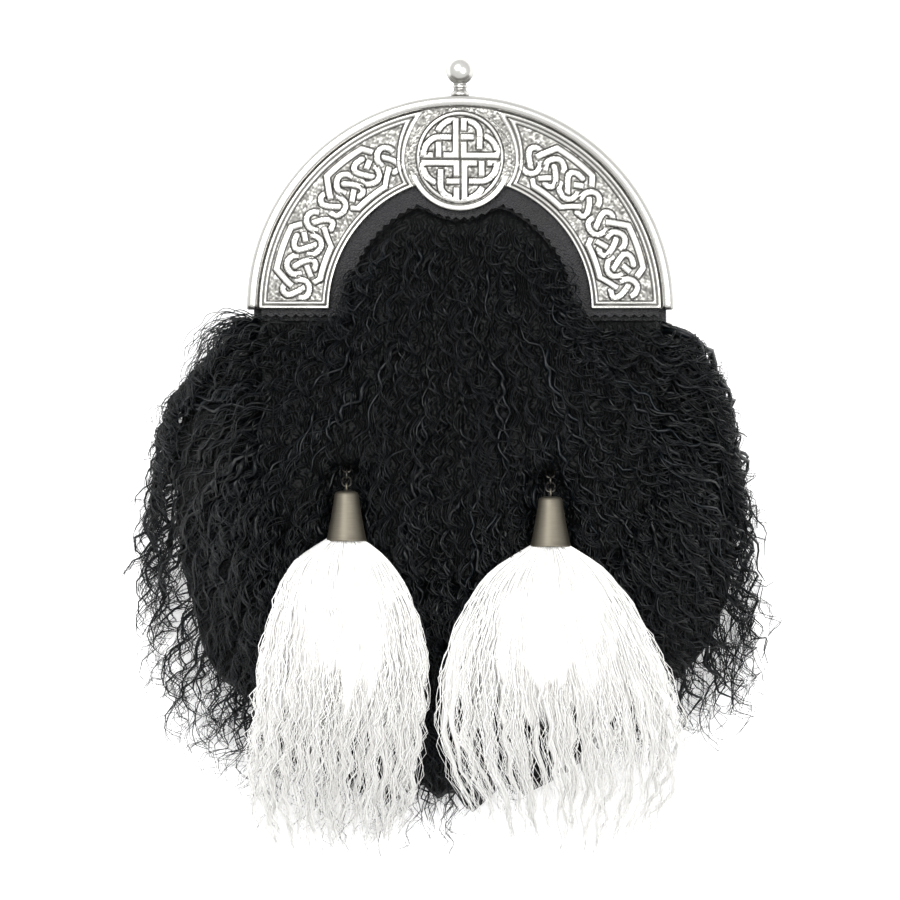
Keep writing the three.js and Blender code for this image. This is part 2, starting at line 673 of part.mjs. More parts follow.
// A closed solid through sections that have the same number of points
function loft(sections, outline) {
  const count = outline.length;
  const index = [];
  for (let i = 0; i + 1 < sections.length; i += 1) {
    for (let k = 0; k < count; k += 1) {
      const [a, b] = [i * count + k, i * count + ((k + 1) % count)];
      index.push(a, b, a + count, b, b + count, a + count);
    }
  }
  const cap = THREE.ShapeUtils.triangulateShape(outline, []);
  const last = (sections.length - 1) * count;
  for (const [a, b, c] of cap) {
    index.push(a, b, c, last + a, last + c, last + b);
  }
  const geometry = new THREE.BufferGeometry().setFromPoints(sections.flat());
  geometry.setIndex(index);
  return geometry;
}

function skirt() {
  const sections = skirtRows().map(skirtSection);
  const outline = sections[0].map((point) => new THREE.Vector2(-point.x, point.z));
  return loft(sections, outline);
}

function fur() {
  const skin = plate(pouchOutline(MAT_EDGE), SKIN_Z, SKIN, OUTLINE_STEPS);
  const mat = plate(matOutline(), SKIN_Z + SKIN / 2, MAT_TOP - SKIN_Z - SKIN / 2, 5);
  const locks = [];
  for (const tier of FUR_TIERS) {
    for (let i = 0; i < tier.locks; i += 1) {
      locks.push(furLock(tier, (2 * i) / (tier.locks - 1) - 1, i));
    }
  }
  const beds = TASSELS.flatMap((tassel) => hairBeds(tassel));
  const body = beds.map(solid).reduce((left, bed) => left.subtract(bed), joined([skin, mat, skirt(), ...locks]));
  return geometryOf(body);
}

function hairBeds(tassel) {
  const above = 2 * HAIR_TOP;
  const coneEnd = tassel.coneTop - CONE.length;
  const across = (half) => [tassel.x - half, tassel.x + half];
  return [
    box(
      across(CONE_BED.halfWidth),
      [coneEnd - CONE_BED.below, anchorY(tassel) + CONE_BED.above],
      [SKIN_Z + SKIN + CONE_BED.clear, above],
    ),
    box(across(HEAD_BED.halfWidth), [coneEnd - HEAD_BED.length, coneEnd], [MAT_TOP + HEAD_BED.clear, above]),
  ];
}

// Tassels

// Distances between centres along the pulled chain: from an eye to a link, and from link to link
const LINK_END = LINK.length / 2 - LINK.wire;
const EYE_PITCH = LINK_END + EYE.radius - 2 * LINK.wire - CHAIN_SLACK;
const LINK_PITCH = 2 * LINK_END - 2 * LINK.wire - CHAIN_SLACK;

function chainLength() {
  return 2 * EYE_PITCH + (LINK.count - 1) * LINK_PITCH;
}

function anchorY(tassel) {
  const drop = CONE.z - anchorEyeZ();
  return tassel.coneTop + EYE.radius + Math.sqrt(chainLength() ** 2 - drop ** 2);
}

function tasselCone(tassel) {
  const { length, topRadius, bottomRadius, wall, lip, lipHeight, roof } = CONE;
  const profile = [
    [0, 0], [topRadius - wall, 0], [topRadius, -wall], [bottomRadius - lip, -length + lipHeight + 2 * lip],
    [bottomRadius + lip, -length + lipHeight], [bottomRadius + lip, -length], [bottomRadius - wall, -length],
    [topRadius - wall, -roof], [0, -roof],
  ];
  const points = profile.map(([radius, y]) => new THREE.Vector2(radius, y)).reverse();
  const shell = new THREE.LatheGeometry(points, 12);
  const eye = new THREE.TorusGeometry(EYE.radius, EYE.wire, 5, 10).rotateY(Math.PI / 2).translate(0, EYE.radius, 0);
  return geometryOf(joined([shell, eye])).translate(tassel.x, tassel.coneTop, CONE.z);
}

function tasselAnchor(tassel) {
  const y = anchorY(tassel);
  const base = SKIN_Z + SKIN + GAP;
  const rivet = new THREE.CylinderGeometry(ANCHOR.radius, ANCHOR.radius, ANCHOR.height, 10).rotateX(Math.PI / 2);
  const eye = new THREE.TorusGeometry(EYE.radius, EYE.wire, 5, 10).rotateY(Math.PI / 2);
  rivet.translate(tassel.x, y, base + ANCHOR.height / 2);
  eye.translate(tassel.x, y, anchorEyeZ());
  return geometryOf(joined([rivet, eye]));
}

function anchorEyeZ() {
  return SKIN_Z + SKIN + GAP + ANCHOR.height + EYE.radius + EYE.wire / 2;
}

// The links stand in a line from the cone's eye to the anchor's, each turned a quarter from the last
function tasselLinks(tassel) {
  const from = new THREE.Vector3(tassel.x, tassel.coneTop + EYE.radius, CONE.z);
  const to = new THREE.Vector3(tassel.x, anchorY(tassel), anchorEyeZ());
  const along = to.clone().sub(from).normalize();
  const links = [];
  for (let i = 0; i < LINK.count; i += 1) {
    const path = stadium(LINK.width - 2 * LINK.wire, LINK.length - 2 * LINK.wire);
    const geometry = wireLoop(path, LINK.wire, 5, 10);
    if (i % 2 === 1) geometry.rotateY(Math.PI / 2);
    const link = named(`tassel_link_${tassel.side}_${i + 1}`, geometry, NICKEL);
    link.quaternion.setFromUnitVectors(new THREE.Vector3(0, 1, 0), along);
    link.position.copy(from).addScaledVector(along, EYE_PITCH + i * LINK_PITCH);
    links.push(link);
  }
  return links;
}

// White hair: locks side by side from the head inside the cone to the tips
function tasselHair(tassel) {
  const mouthY = tassel.coneTop - CONE.length;
  const headRadius = CONE.bottomRadius - CONE.wall - HEAD.clear;
  const head = new THREE.CylinderGeometry(headRadius - HEAD.taper, headRadius, HEAD.length, 10);
  head.translate(tassel.x, mouthY + HEAD.inside - HEAD.length / 2, CONE.z);
  const locks = [];
  for (let i = 0; i < TASSEL_LOCKS; i += 1) {
    const across = (2 * i) / (TASSEL_LOCKS - 1) - 1;
    locks.push(lock(tasselStations(tassel, mouthY, headRadius, across, i % 2), LOCK_SIDES));
  }
  return geometryOf(joined([head, ...locks]));
}

// The lock's two roots lie in the head, and the rest follows the rows of the outline
function tasselStations(tassel, mouthY, headRadius, across, shorter) {
  const round = Math.sqrt(1 - 0.72 * across ** 2);
  const rootX = tassel.x + across * (headRadius - 2.6);
  const stations = [2, -1.5].map((lift) => ({
    centre: new THREE.Vector3(rootX, mouthY + lift, CONE.z), width: 1.6, thick: 3 * round,
  }));
  const rows = tassel.outline;
  rows.forEach((row, step) => {
    const t = (step + 1) / rows.length;
    const half = (row.right - row.left) / 2;
    const x = (row.left + row.right) / 2 + across * 0.75 * half;
    const y = lerp(mouthY, row.y - 6 * shorter, step === 0 ? 0.9 : 1);
    const thick = lerp(HAIR_THICK.root, HAIR_THICK.tip, t) * round;
    const rest = step === 0 ? CONE.z - 5 : drape(x, y) + HAIR_REST;
    const width = (half / TASSEL_LOCKS) * lerp(1.7, 0.8, t ** 3);
    stations.push({ centre: new THREE.Vector3(x, y, rest + thick), width, thick });
  });
  return stations;
}

const group = new THREE.Group();
group.add(
  named("cantle", cantle(), PEWTER),
  named("finial", finial(), PEWTER),
  named("leather_trim", leatherTrim(), BLACK_LEATHER),
  named("fur", fur(), BLACK_WOOL),
  named("front_panel", frontPanel(), BLACK_LEATHER),
  named("gusset", gusset(), BLACK_LEATHER),
  named("back_panel", backPanel(), BLACK_LEATHER),
  named("back_flap", backFlap(), BLACK_LEATHER),
  named("snap_stud", snapStud(), NICKEL),
);
for (const [side, x] of [["left", -RING_X], ["right", RING_X]]) {
  group.add(named(`ring_tab_${side}`, ringTab(x), BLACK_LEATHER));
  group.add(named(`belt_ring_${side}`, beltRing(x), NICKEL));
}
for (const tassel of TASSELS) {
  group.add(named(`tassel_anchor_${tassel.side}`, tasselAnchor(tassel), NICKEL));
  group.add(...tasselLinks(tassel));
  group.add(named(`tassel_cone_${tassel.side}`, tasselCone(tassel), NICKEL));
  group.add(named(`tassel_hair_${tassel.side}`, tasselHair(tassel), WHITE_HAIR));
}

export default group;
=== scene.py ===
# %% [markdown]
# # A full-dress hair sporran pouch
# A sporran is the pouch that is worn in front of a kilt. This one lies on its back: a cast metal
# top with knotwork, a leather pouch, a long curly black fleece and two white hair tassels.
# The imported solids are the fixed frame. Everything below is drawn round them, in millimetres,
# and turned into metres only where a mesh is made.

import json
import math

import bmesh
import bpy
import numpy as np
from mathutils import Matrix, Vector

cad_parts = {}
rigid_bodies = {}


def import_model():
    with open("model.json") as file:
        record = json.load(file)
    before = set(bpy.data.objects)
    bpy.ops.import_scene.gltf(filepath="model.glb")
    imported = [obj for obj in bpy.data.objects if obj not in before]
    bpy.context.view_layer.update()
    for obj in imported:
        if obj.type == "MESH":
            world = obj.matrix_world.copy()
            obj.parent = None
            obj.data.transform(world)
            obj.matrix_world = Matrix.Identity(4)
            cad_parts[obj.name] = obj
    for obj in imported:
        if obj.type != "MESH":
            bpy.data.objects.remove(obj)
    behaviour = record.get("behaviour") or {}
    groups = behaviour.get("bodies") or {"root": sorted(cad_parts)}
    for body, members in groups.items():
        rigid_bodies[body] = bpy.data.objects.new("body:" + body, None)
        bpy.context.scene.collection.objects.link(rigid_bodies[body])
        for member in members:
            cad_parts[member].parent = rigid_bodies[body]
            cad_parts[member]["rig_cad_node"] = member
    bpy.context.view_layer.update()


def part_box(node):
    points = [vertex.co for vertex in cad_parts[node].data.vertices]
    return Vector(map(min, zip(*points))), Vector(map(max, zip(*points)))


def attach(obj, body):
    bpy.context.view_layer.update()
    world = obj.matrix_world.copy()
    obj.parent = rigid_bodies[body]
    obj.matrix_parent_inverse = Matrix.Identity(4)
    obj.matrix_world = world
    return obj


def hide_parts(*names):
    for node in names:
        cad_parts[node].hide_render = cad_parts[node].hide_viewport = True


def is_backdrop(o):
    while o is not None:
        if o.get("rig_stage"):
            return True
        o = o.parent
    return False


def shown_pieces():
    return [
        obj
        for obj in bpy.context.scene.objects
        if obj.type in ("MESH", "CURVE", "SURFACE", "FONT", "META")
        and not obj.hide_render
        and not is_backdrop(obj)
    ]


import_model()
MM = 0.001

# %% [markdown]
# ## Levels of the pouch
# The pouch is a stack of layers. Reading their heights from the frame's own boxes keeps every
# drawn piece seated on what carries it.

# %% Heights of the layers, in millimetres


def level(node, top):
    low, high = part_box(node)
    return (high.z if top else low.z) / MM


FLOOR_Z = level("ring_tab_left", top=False)
BACK_Z = level("back_panel", top=False)
GUSSET_Z = level("gusset", top=False)
FRONT_Z = level("front_panel", top=False)
FACING_Z = level("leather_trim", top=False)
LEATHER = level("back_panel", top=True) - BACK_Z
FACING = level("leather_trim", top=True) - FACING_Z
GAP = 0.3
PLATE = 1.6
SKIN = 1.8
HAIR_DEPTH = 12
PLATE_Z = FACING_Z + FACING + GAP
FIELD_Z = PLATE_Z + PLATE
SKIN_TOP = level("front_panel", top=True) + SKIN
HAIR_TOP = SKIN_TOP + HAIR_DEPTH
print("floor", round(FLOOR_Z, 2), "plate", round(PLATE_Z, 2), "hair", round(HAIR_TOP, 2))

# %% [markdown]
# ## Camera, floor and light
# The photograph looks straight down at the pouch, so the camera does too. A long lens far away
# keeps the outline of high and low pieces at one scale. The picture is square and shows 375.7 mm,
# because the 177.8 mm wide metal top covers 426 of its 900 pixels.

# %% Camera
PICTURE_WIDTH = 375.7
PICTURE_CENTRE = (-4.2, -58.9)
LENS = 200
SENSOR = 36

camera_data = bpy.data.cameras.new("camera")
camera_data.lens = LENS
camera_data.sensor_width = SENSOR
camera = bpy.data.objects.new("camera", camera_data)
camera_height = PLATE_Z + PICTURE_WIDTH * LENS / SENSOR
camera.location = (PICTURE_CENTRE[0] * MM, PICTURE_CENTRE[1] * MM, camera_height * MM)
bpy.context.scene.collection.objects.link(camera)
bpy.context.scene.camera = camera
print("The camera hangs", round(camera_height), "mm above the table")

# %% [markdown]
# The photograph has almost no shadow, as on an opal glass table that is lit a little from below.
# The floor therefore glows weakly, and only faint shadows are left beside the hair. A white world
# gives the even light, and two wide lamps give the metal and the hair their highlights. The plain
# colour transform keeps the burnt-out white of the photograph.

# %% Floor, world and lamps
FLOOR_HALF = 3000
bpy.context.scene.view_settings.view_transform = "Standard"


def linear(hex_colour):
    """An sRGB hex colour as linear red, green, blue and alpha."""
    values = [int(hex_colour[i : i + 2], 16) / 255 for i in (1, 3, 5)]
    bent = [v / 12.92 if v <= 0.04045 else ((v + 0.055) / 1.055) ** 2.4 for v in values]
    return (*bent, 1.0)


def node(tree, kind, links=(), stops=(), **settings):
    """Adds a shader node. Settings are its properties or, by name, its inputs; links are
    (input name, output socket) pairs, and stops the (position, hex) pairs of its colour ramp."""
    made = tree.nodes.new(kind)
    for name, value in settings.items():
        label = name.replace("_", " ")
        if hasattr(made, name):
            setattr(made, name, value)
        else:
            key = next(k for k in made.inputs.keys() if k.lower() == label.lower())
            made.inputs[key].default_value = value
    for name, output in links:
        tree.links.new(output, made.inputs[name])
    for end, (place, colour) in zip((0, 1), (stops[0], stops[-1]) if stops else ()):
        made.color_ramp.elements[end].position = place
        made.color_ramp.elements[end].color = linear(colour)
    for place, colour in stops[1:-1]:
        made.color_ramp.elements.new(place).color = linear(colour)
    return made


def material(name, **inputs):
    """A new material with only a Principled shader, whose inputs are given by name."""
    made = bpy.data.materials.new(name)
    made.use_nodes = True
    shader = made.node_tree.nodes["Principled BSDF"]
    for key, value in inputs.items():
        shader.inputs[key.replace("_", " ")].default_value = value
    return made, made.node_tree, shader


paper, tree, shader = material(
    "lit_opal_table", Base_Color=linear("#f2f2f2"), Roughness=0.9, Specular_IOR_Level=0.1,
    Emission_Color=linear("#ffffff"), Emission_Strength=0.42,
)
floor_mesh = bpy.data.meshes.new("floor")
corners = [(-1, -1), (1, -1), (1, 1), (-1, 1)]
floor_points = [(x * FLOOR_HALF * MM, y * FLOOR_HALF * MM, FLOOR_Z * MM) for x, y in corners]
floor_mesh.from_pydata(floor_points, [], [(0, 1, 2, 3)])
floor_mesh.materials.append(paper)
floor = bpy.data.objects.new("floor", floor_mesh)
bpy.context.scene.collection.objects.link(floor)
floor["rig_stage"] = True

world = bpy.data.worlds.new("white_studio")
world.use_nodes = True
world.node_tree.nodes["Background"].inputs["Color"].default_value = (1, 1, 1, 1)
world.node_tree.nodes["Background"].inputs["Strength"].default_value = 0.98
bpy.context.scene.world = world

LAMPS = [
    {"name": "key_lamp", "at": (-500, 600, 1500), "width": 1100, "watts": 20},
    {"name": "fill_lamp", "at": (700, -100, 1500), "width": 1100, "watts": 12},
]
for lamp in LAMPS:
    data = bpy.data.lights.new(lamp["name"], "AREA")
    data.shape = "DISK"
    data.size = lamp["width"] * MM
    data.energy = lamp["watts"]
    holder = bpy.data.objects.new(lamp["name"], data)
    holder.location = [value * MM for value in lamp["at"]]
    aim = np.array(PICTURE_CENTRE + (0,)) - np.array(lamp["at"])
    holder.rotation_euler = (
        math.acos(-aim[2] / np.linalg.norm(aim)),
        0,
        math.atan2(aim[1], aim[0]) - math.pi / 2,
    )
    bpy.context.scene.collection.objects.link(holder)
print("Lamps:", [lamp["name"] for lamp in LAMPS])

# %% [markdown]
# ## Materials
# Each finish starts from what the real stuff is. Patterns are sized from real millimetres: one
# texture unit is one metre here, so a grain of 0.6 mm needs a scale of about 1 / 0.0006.

# %% Scale helper for patterns


def per_mm(size_mm):
    """The texture scale at which one cell of a pattern is size_mm wide."""
    return 1 / (size_mm * MM)


def position(tree):
    return node(tree, "ShaderNodeTexCoord").outputs["Object"]


# %% [markdown]
# ### Cast antique pewter
# The metal top is cast, dipped in a darkening bath and polished, so the bath's grey stays only in
# the hollows. The mesh carries a number that is 0 on the polished tops and 1 in the deepest hollows.
# On the knob's sides and the rim's outer wall the same number also holds painted shade. It mixes
# bright and dark metal and also dulls the hollows.

# %% Antique pewter
antique_pewter, tree, shader = material("antique_pewter", Metallic=1.0)
# Read per point: patina in the hollows, and painted shade on the knob's and rim's sides
patina_and_shade = node(tree, "ShaderNodeAttribute", attribute_name="patina_and_shade").outputs["Fac"]
cloud = node(tree, "ShaderNodeTexNoise", [("Vector", position(tree))], scale=per_mm(6), detail=3)
grit = node(tree, "ShaderNodeTexNoise", [("Vector", position(tree))], scale=per_mm(0.45), detail=2)
stained = node(
    tree,
    "ShaderNodeMath",
    operation="MULTIPLY_ADD",
    links=[(0, cloud.outputs["Fac"]), (2, patina_and_shade)],
)
stained.inputs[1].default_value = 0.10
greys = [(0.04, "#d3d2ce"), (0.5, "#7d7c78"), (1.0, "#2b2a29")]
tone = node(tree, "ShaderNodeValToRGB", [("Fac", stained.outputs[0])], greys)
tree.links.new(tone.outputs["Color"], shader.inputs["Base Color"])
dulled = node(tree, "ShaderNodeMapRange", [("Value", patina_and_shade)], To_Min=0.24, To_Max=0.6)
tree.links.new(dulled.outputs["Result"], shader.inputs["Roughness"])
cast_skin = node(
    tree, "ShaderNodeBump", [("Height", grit.outputs["Fac"])], Strength=0.35, Distance=0.00006
)
tree.links.new(cast_skin.outputs["Normal"], shader.inputs["Normal"])

# %% [markdown]
# ### Satin nickel plate
# The tassels' cones, the chain links and the belt rings are pressed or bent metal with a warm,
# brushed nickel plate. Fine lines round the cone come from stretched noise.

# %% Satin nickel
satin_nickel, tree, shader = material("satin_nickel", Metallic=1.0, Roughness=0.52)
brushed = node(
    tree, "ShaderNodeMapping", [("Vector", position(tree))], Scale=(per_mm(6), per_mm(0.2), per_mm(6))
)
lines = node(tree, "ShaderNodeTexNoise", [("Vector", brushed.outputs["Vector"])], scale=1, detail=2)
greys = [(0.3, "#6a655b"), (0.7, "#757064")]
tone = node(tree, "ShaderNodeValToRGB", [("Fac", lines.outputs["Fac"])], greys)
tree.links.new(tone.outputs["Color"], shader.inputs["Base Color"])
scratches = node(
    tree, "ShaderNodeBump", [("Height", lines.outputs["Fac"])], Strength=0.12, Distance=0.00002
)
tree.links.new(scratches.outputs["Normal"], shader.inputs["Normal"])

# The chain is plain steel wire that has gone nearly black
dark_wire, tree, shader = material("blackened_steel_wire", Metallic=1.0, Roughness=0.35)
worn = node(tree, "ShaderNodeTexNoise", [("Vector", position(tree))], scale=per_mm(1.2), detail=3)
greys = [(0.4, "#2c2b2a"), (0.75, "#6a6761")]
tone = node(tree, "ShaderNodeValToRGB", [("Fac", worn.outputs["Fac"])], greys)
tree.links.new(tone.outputs["Color"], shader.inputs["Base Color"])

# %% [markdown]
# ### Black leather
# Chrome-tanned calf leather with a fine pebble grain of about 0.8 mm. The pebbles are rounded
# cells with creases between them, and a slow cloud makes the black a little uneven.

# %% Grained leather


def grained_leather(name, dark, light, grain_mm, rough, gloss):
    made, tree, shader = material(name, Specular_IOR_Level=gloss, Roughness=rough, IOR=1.5)
    place = position(tree)
    pebble = node(tree, "ShaderNodeTexVoronoi", [("Vector", place)], scale=per_mm(grain_mm))
    crease = node(tree, "ShaderNodeTexNoise", [("Vector", place)], scale=per_mm(grain_mm * 2), detail=4)
    cloud = node(tree, "ShaderNodeTexNoise", [("Vector", place)], scale=per_mm(14), detail=2)
    blacks = [(0.3, dark), (0.7, light)]
    tone = node(tree, "ShaderNodeValToRGB", [("Fac", cloud.outputs["Fac"])], blacks)
    tree.links.new(tone.outputs["Color"], shader.inputs["Base Color"])
    folded = node(
        tree, "ShaderNodeBump", [("Height", crease.outputs["Fac"])], Strength=0.5, Distance=0.00015
    )
    pebbled = node(
        tree,
        "ShaderNodeBump",
        [("Height", pebble.outputs["Distance"]), ("Normal", folded.outputs["Normal"])],
        Strength=0.9,
        Distance=0.0003,
        invert=True,
    )
    tree.links.new(pebbled.outputs["Normal"], shader.inputs["Normal"])
    return made


black_leather = grained_leather("black_calf_leather", "#101113", "#1a1b1d", 0.8, 0.45, 0.35)
facing_leather = grained_leather("charcoal_facing_leather", "#0b0b0e", "#131317", 0.8, 0.45, 0.32)
waxed_thread = material("waxed_black_thread", Base_Color=linear("#1b1c1e"), Roughness=0.45)[0]

# %% [markdown]
# ### Fleece and tassel hair
# Hair is drawn as real thin tubes, so most of its light comes from the shape. Each strand keeps its
# own shade in the first direction of its texture map and its root and tip in the second, so one
# material gives near-black strands with a few brown or blue-grey ones. Along the strand it paints
# shade: the black wool darker at its roots, deep in the fleece, and the white hair greyer at its tips.

# %% Hair materials
SHADES = 32


def hair_material(name, shades, root, tip, fade, rough, ior, gloss):
    """shades are (position, hex) over the strands. Root and tip are how bright the two ends are, as
    painted shade, and fade is the share of the length at which the change begins."""
    made, tree, shader = material(name, Specular_IOR_Level=gloss, Roughness=rough, IOR=ior)
    strand = node(tree, "ShaderNodeUVMap", uv_map="OFBake")
    split = node(tree, "ShaderNodeSeparateXYZ", [("Vector", strand.outputs["UV"])])
    tone = node(tree, "ShaderNodeValToRGB", [("Fac", split.outputs["X"])], shades)
    depth = node(
        tree, "ShaderNodeMapRange", [("Value", split.outputs["Y"])],
        From_Min=fade, To_Min=root, To_Max=tip,
    )
    shaded = node(
        tree, "ShaderNodeVectorMath", [(0, tone.outputs["Color"])], operation="SCALE"
    )
    tree.links.new(depth.outputs["Result"], shaded.inputs["Scale"])
    tree.links.new(shaded.outputs["Vector"], shader.inputs["Base Color"])
    return made


BLACK_SHADES = [(0.0, "#020406"), (0.5, "#070c10"), (0.8, "#0e161c")]
BLACK_SHADES += [(0.92, "#150f12"), (1.0, "#1c2830")]
WHITE_SHADES = [(0.0, "#e2e0dc"), (0.3, "#f6f5f2"), (1.0, "#fefefd")]
# Painted shade along the strands: black wool at half brightness at the root, white hair greying to 0.9
# over its last 40 %
black_wool = hair_material("curly_black_wool", BLACK_SHADES, 0.5, 1.0, 0.0, 0.34, 1.55, 0.22)
white_hair = hair_material("combed_white_hair", WHITE_SHADES, 1.0, 0.9, 0.6, 0.5, 1.45, 0.3)

# The soft body of a tassel: fine lengthwise ridges, 0.6 mm apart
white_body, tree, shader = material(
    "dense_white_hair", Base_Color=linear("#f3f2f0"), Roughness=0.6, Specular_IOR_Level=0.25
)
drawn_out = node(
    tree, "ShaderNodeMapping", [("Vector", position(tree))], Scale=(per_mm(0.6), per_mm(18), per_mm(0.6))
)
ridged = node(tree, "ShaderNodeTexNoise", [("Vector", drawn_out.outputs["Vector"])], scale=1, detail=2)
combed = node(tree, "ShaderNodeBump", [("Height", ridged.outputs["Fac"])], Strength=0.6, Distance=0.0004)
tree.links.new(combed.outputs["Normal"], shader.inputs["Normal"])

# The dense wool near the skin shows only between the locks, as dark matted waves 3 mm apart
matted_wool, tree, shader = material(
    "matted_black_wool", Base_Color=linear("#040506"), Roughness=0.5, Specular_IOR_Level=0.14
)
waves = node(
    tree,
    "ShaderNodeTexWave",
    [("Vector", position(tree))],
    wave_type="BANDS",
    bands_direction="X",
    Scale=per_mm(3) / (2 * math.pi) * 2,
    Distortion=14,
    Detail=3,
    Detail_Scale=per_mm(9) / 100,
)
matted = node(tree, "ShaderNodeBump", [("Height", waves.outputs["Fac"])], Strength=1.0, Distance=0.0012)
tree.links.new(matted.outputs["Normal"], shader.inputs["Normal"])

# %% [markdown]
# ## Making meshes
# Two kinds of mesh do nearly all the work: a grid of points closed into a skin, and bundles of
# thin tapered tubes. Both are made from arrays, because a fleece has a few thousand strands.

# %% Piece helpers
rng = np.random.default_rng(1746)


def seated(made, replaced):
    """Fixes an object to the pouch, and hides the frame's parts that it stands for."""
    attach(made, "root")
    for node_name in replaced:
        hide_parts(node_name)
    return made


def piece(name, points, faces, finish, replaced=()):
    """Makes one smooth object from points in millimetres and seats it on the frame."""
    mesh = bpy.data.meshes.new(name)
    mesh.from_pydata((np.asarray(points, float) * MM).tolist(), [], faces)
    mesh.materials.append(finish)
    mesh.shade_smooth()
    made = bpy.data.objects.new(name, mesh)
    bpy.context.scene.collection.objects.link(made)
    return seated(made, replaced)


def triangles(made):
    return sum(len(face.vertices) - 2 for face in made.data.polygons)


def ease(low, high, value):
    """0 below low, 1 above high and a smooth step between."""
    t = np.clip((value - low) / (high - low), 0, 1)
    return t * t * (3 - 2 * t)


def normalised(vectors):
    return vectors / np.maximum(np.linalg.norm(vectors, axis=-1, keepdims=True), 1e-9)


# %% Bundles of thin tubes


def tube_bundle(paths, radii, sides=3):
    """Points and faces of closed tapered tubes: paths is strands x stations x 3."""
    strands, stations, _ = paths.shape
    along = normalised(np.gradient(paths, axis=1))
    across = normalised(np.cross(along, (0.0, 0.0, 1.0)) + 1e-6)
    over = np.cross(across, along)
    turn = np.arange(sides) * 2 * math.pi / sides
    ring = np.cos(turn)[:, None] * across[:, :, None] + np.sin(turn)[:, None] * over[:, :, None]
    points = (paths[:, :, None] + radii[:, :, None, None] * ring).reshape(-1, 3)
    index = np.arange(strands * stations * sides).reshape(strands, stations, sides)
    turned = np.roll(index, -1, axis=2)
    quads = np.stack([index[:, :-1], turned[:, :-1], turned[:, 1:], index[:, 1:]], axis=-1)
    faces = quads.reshape(-1, 4).tolist()
    faces += index[:, 0, ::-1].tolist() + index[:, -1].tolist()
    return points, faces


def strand_map(made, shades, stations, sides):
    """Writes each strand's shade and its root-to-tip place to the OFBake map."""
    strands = len(shades)
    column = np.minimum((shades * SHADES).astype(int), SHADES - 1)
    side = np.array([0, 1, 1, 0])
    end = np.array([0, 0, 1, 1])
    u = column[:, None, None, None] + (np.arange(sides)[:, None] + side) / sides
    v = (np.arange(stations - 1)[:, None, None] + end) / (stations - 1)
    uv = np.empty((strands, stations - 1, sides, 4, 2))
    uv[..., 0] = u / SHADES
    uv[..., 1] = v
    caps = np.zeros((2, strands, sides, 2))
    caps[..., 0] = (column[:, None] + 0.5) / SHADES
    caps[1, ..., 1] = 1.0
    caps[..., 0] += np.array([0.0, 0.2, 0.1, 0.15, 0.05, 0.0])[:sides] / SHADES
    layer = made.data.uv_layers.new(name="OFBake")
    layer.data.foreach_set("uv", np.concatenate([uv.ravel(), caps.ravel()]).astype(np.float32))


def hair_piece(name, paths, radii, shades, finish, slot, node_name, sides=3):
    """One piece of strands, each with its own shade from 0 to 1."""
    points, faces = tube_bundle(paths, radii, sides)
    made = piece(name, points, faces, finish, [node_name])
    strand_map(made, shades, paths.shape[1], sides)
    print(name, "has", len(paths), "strands and", triangles(made), "triangles")


# %% [markdown]
# ## The cast top: its relief
# The plate is one half ring. Its relief is worked out as a height over a fine polar grid: how far
# is this point from the nearest strand's edge, or from the border? Heights that rise over half a
# millimetre look cast, where a sharp boolean edge would look cut. The knot was charted
# from the photograph: angles in degrees from the panel's foot, and radii in millimetres. Each strand
# is drawn with corners, or smooth, or smooth with round ends.

# %% The knot chart
ARCH_INNER = 54.5
PLATE_OUTER = 83.9
RIM_INNER = 84.6
ARCH_OUTER = 88.9
STRAND = 2.45
STRIP_RADIUS = 68.0
REPEAT_ANGLE = 32.6
RIGHT_TURN = 109.0
KNOT = [
    ("round", [8.3, 6.3, 4.7, 5.2, 6.9, 7.7], [73.7, 74.4, 72.6, 69.9, 66.9, 65.7]),
    (
        "smooth",
        [4.1, 4.1, 5.2, 7.2, 9.2, 10.3, 10.2, 9.4],
        [68.0, 65.1, 63.9, 63.3, 64.0, 65.7, 68.7, 69.9],
    ),
    ("corners", [7.6, 12.2, 25.8, 28.3], [70.6, 78.3, 78.2, 74.7]),
    ("corners", [9.9, 11.9, 25.8, 31.0], [62.2, 59.7, 59.7, 66.3]),
    ("smooth", [12.7, 11.7, 13.4, 15.4, 17.4, 18.4], [67.5, 71.1, 74.0, 74.7, 73.2, 70.8]),
    ("round", [14.5, 16.9, 18.1, 18.1, 16.9, 15.1], [71.1, 68.1, 65.7, 63.9, 62.9, 63.0]),
    ("corners", [15.9, 11.9], [66.6, 63.3]),
    ("round", [24.1, 21.6, 20.1, 20.6, 23.1, 23.9], [74.6, 74.5, 72.9, 70.5, 66.9, 66.0]),
    ("corners", [26.3, 23.4], [72.6, 70.1]),
    ("smooth", [19.6, 20.1, 22.1, 24.3, 26.3, 26.7, 26.1], [68.1, 65.4, 63.9, 63.5, 65.1, 68.1, 69.6]),
    ("smooth", [28.8, 28.3, 29.5, 31.5, 33.5, 34.4], [67.5, 70.8, 73.5, 74.5, 73.2, 71.1]),
    ("round", [30.5, 33.0, 34.2, 34.0, 31.5], [70.8, 68.1, 65.7, 63.9, 63.2]),
]
ROUNDEL_AT = np.array([0.0, 62.4])
ROUNDEL_STRAND = 2.6
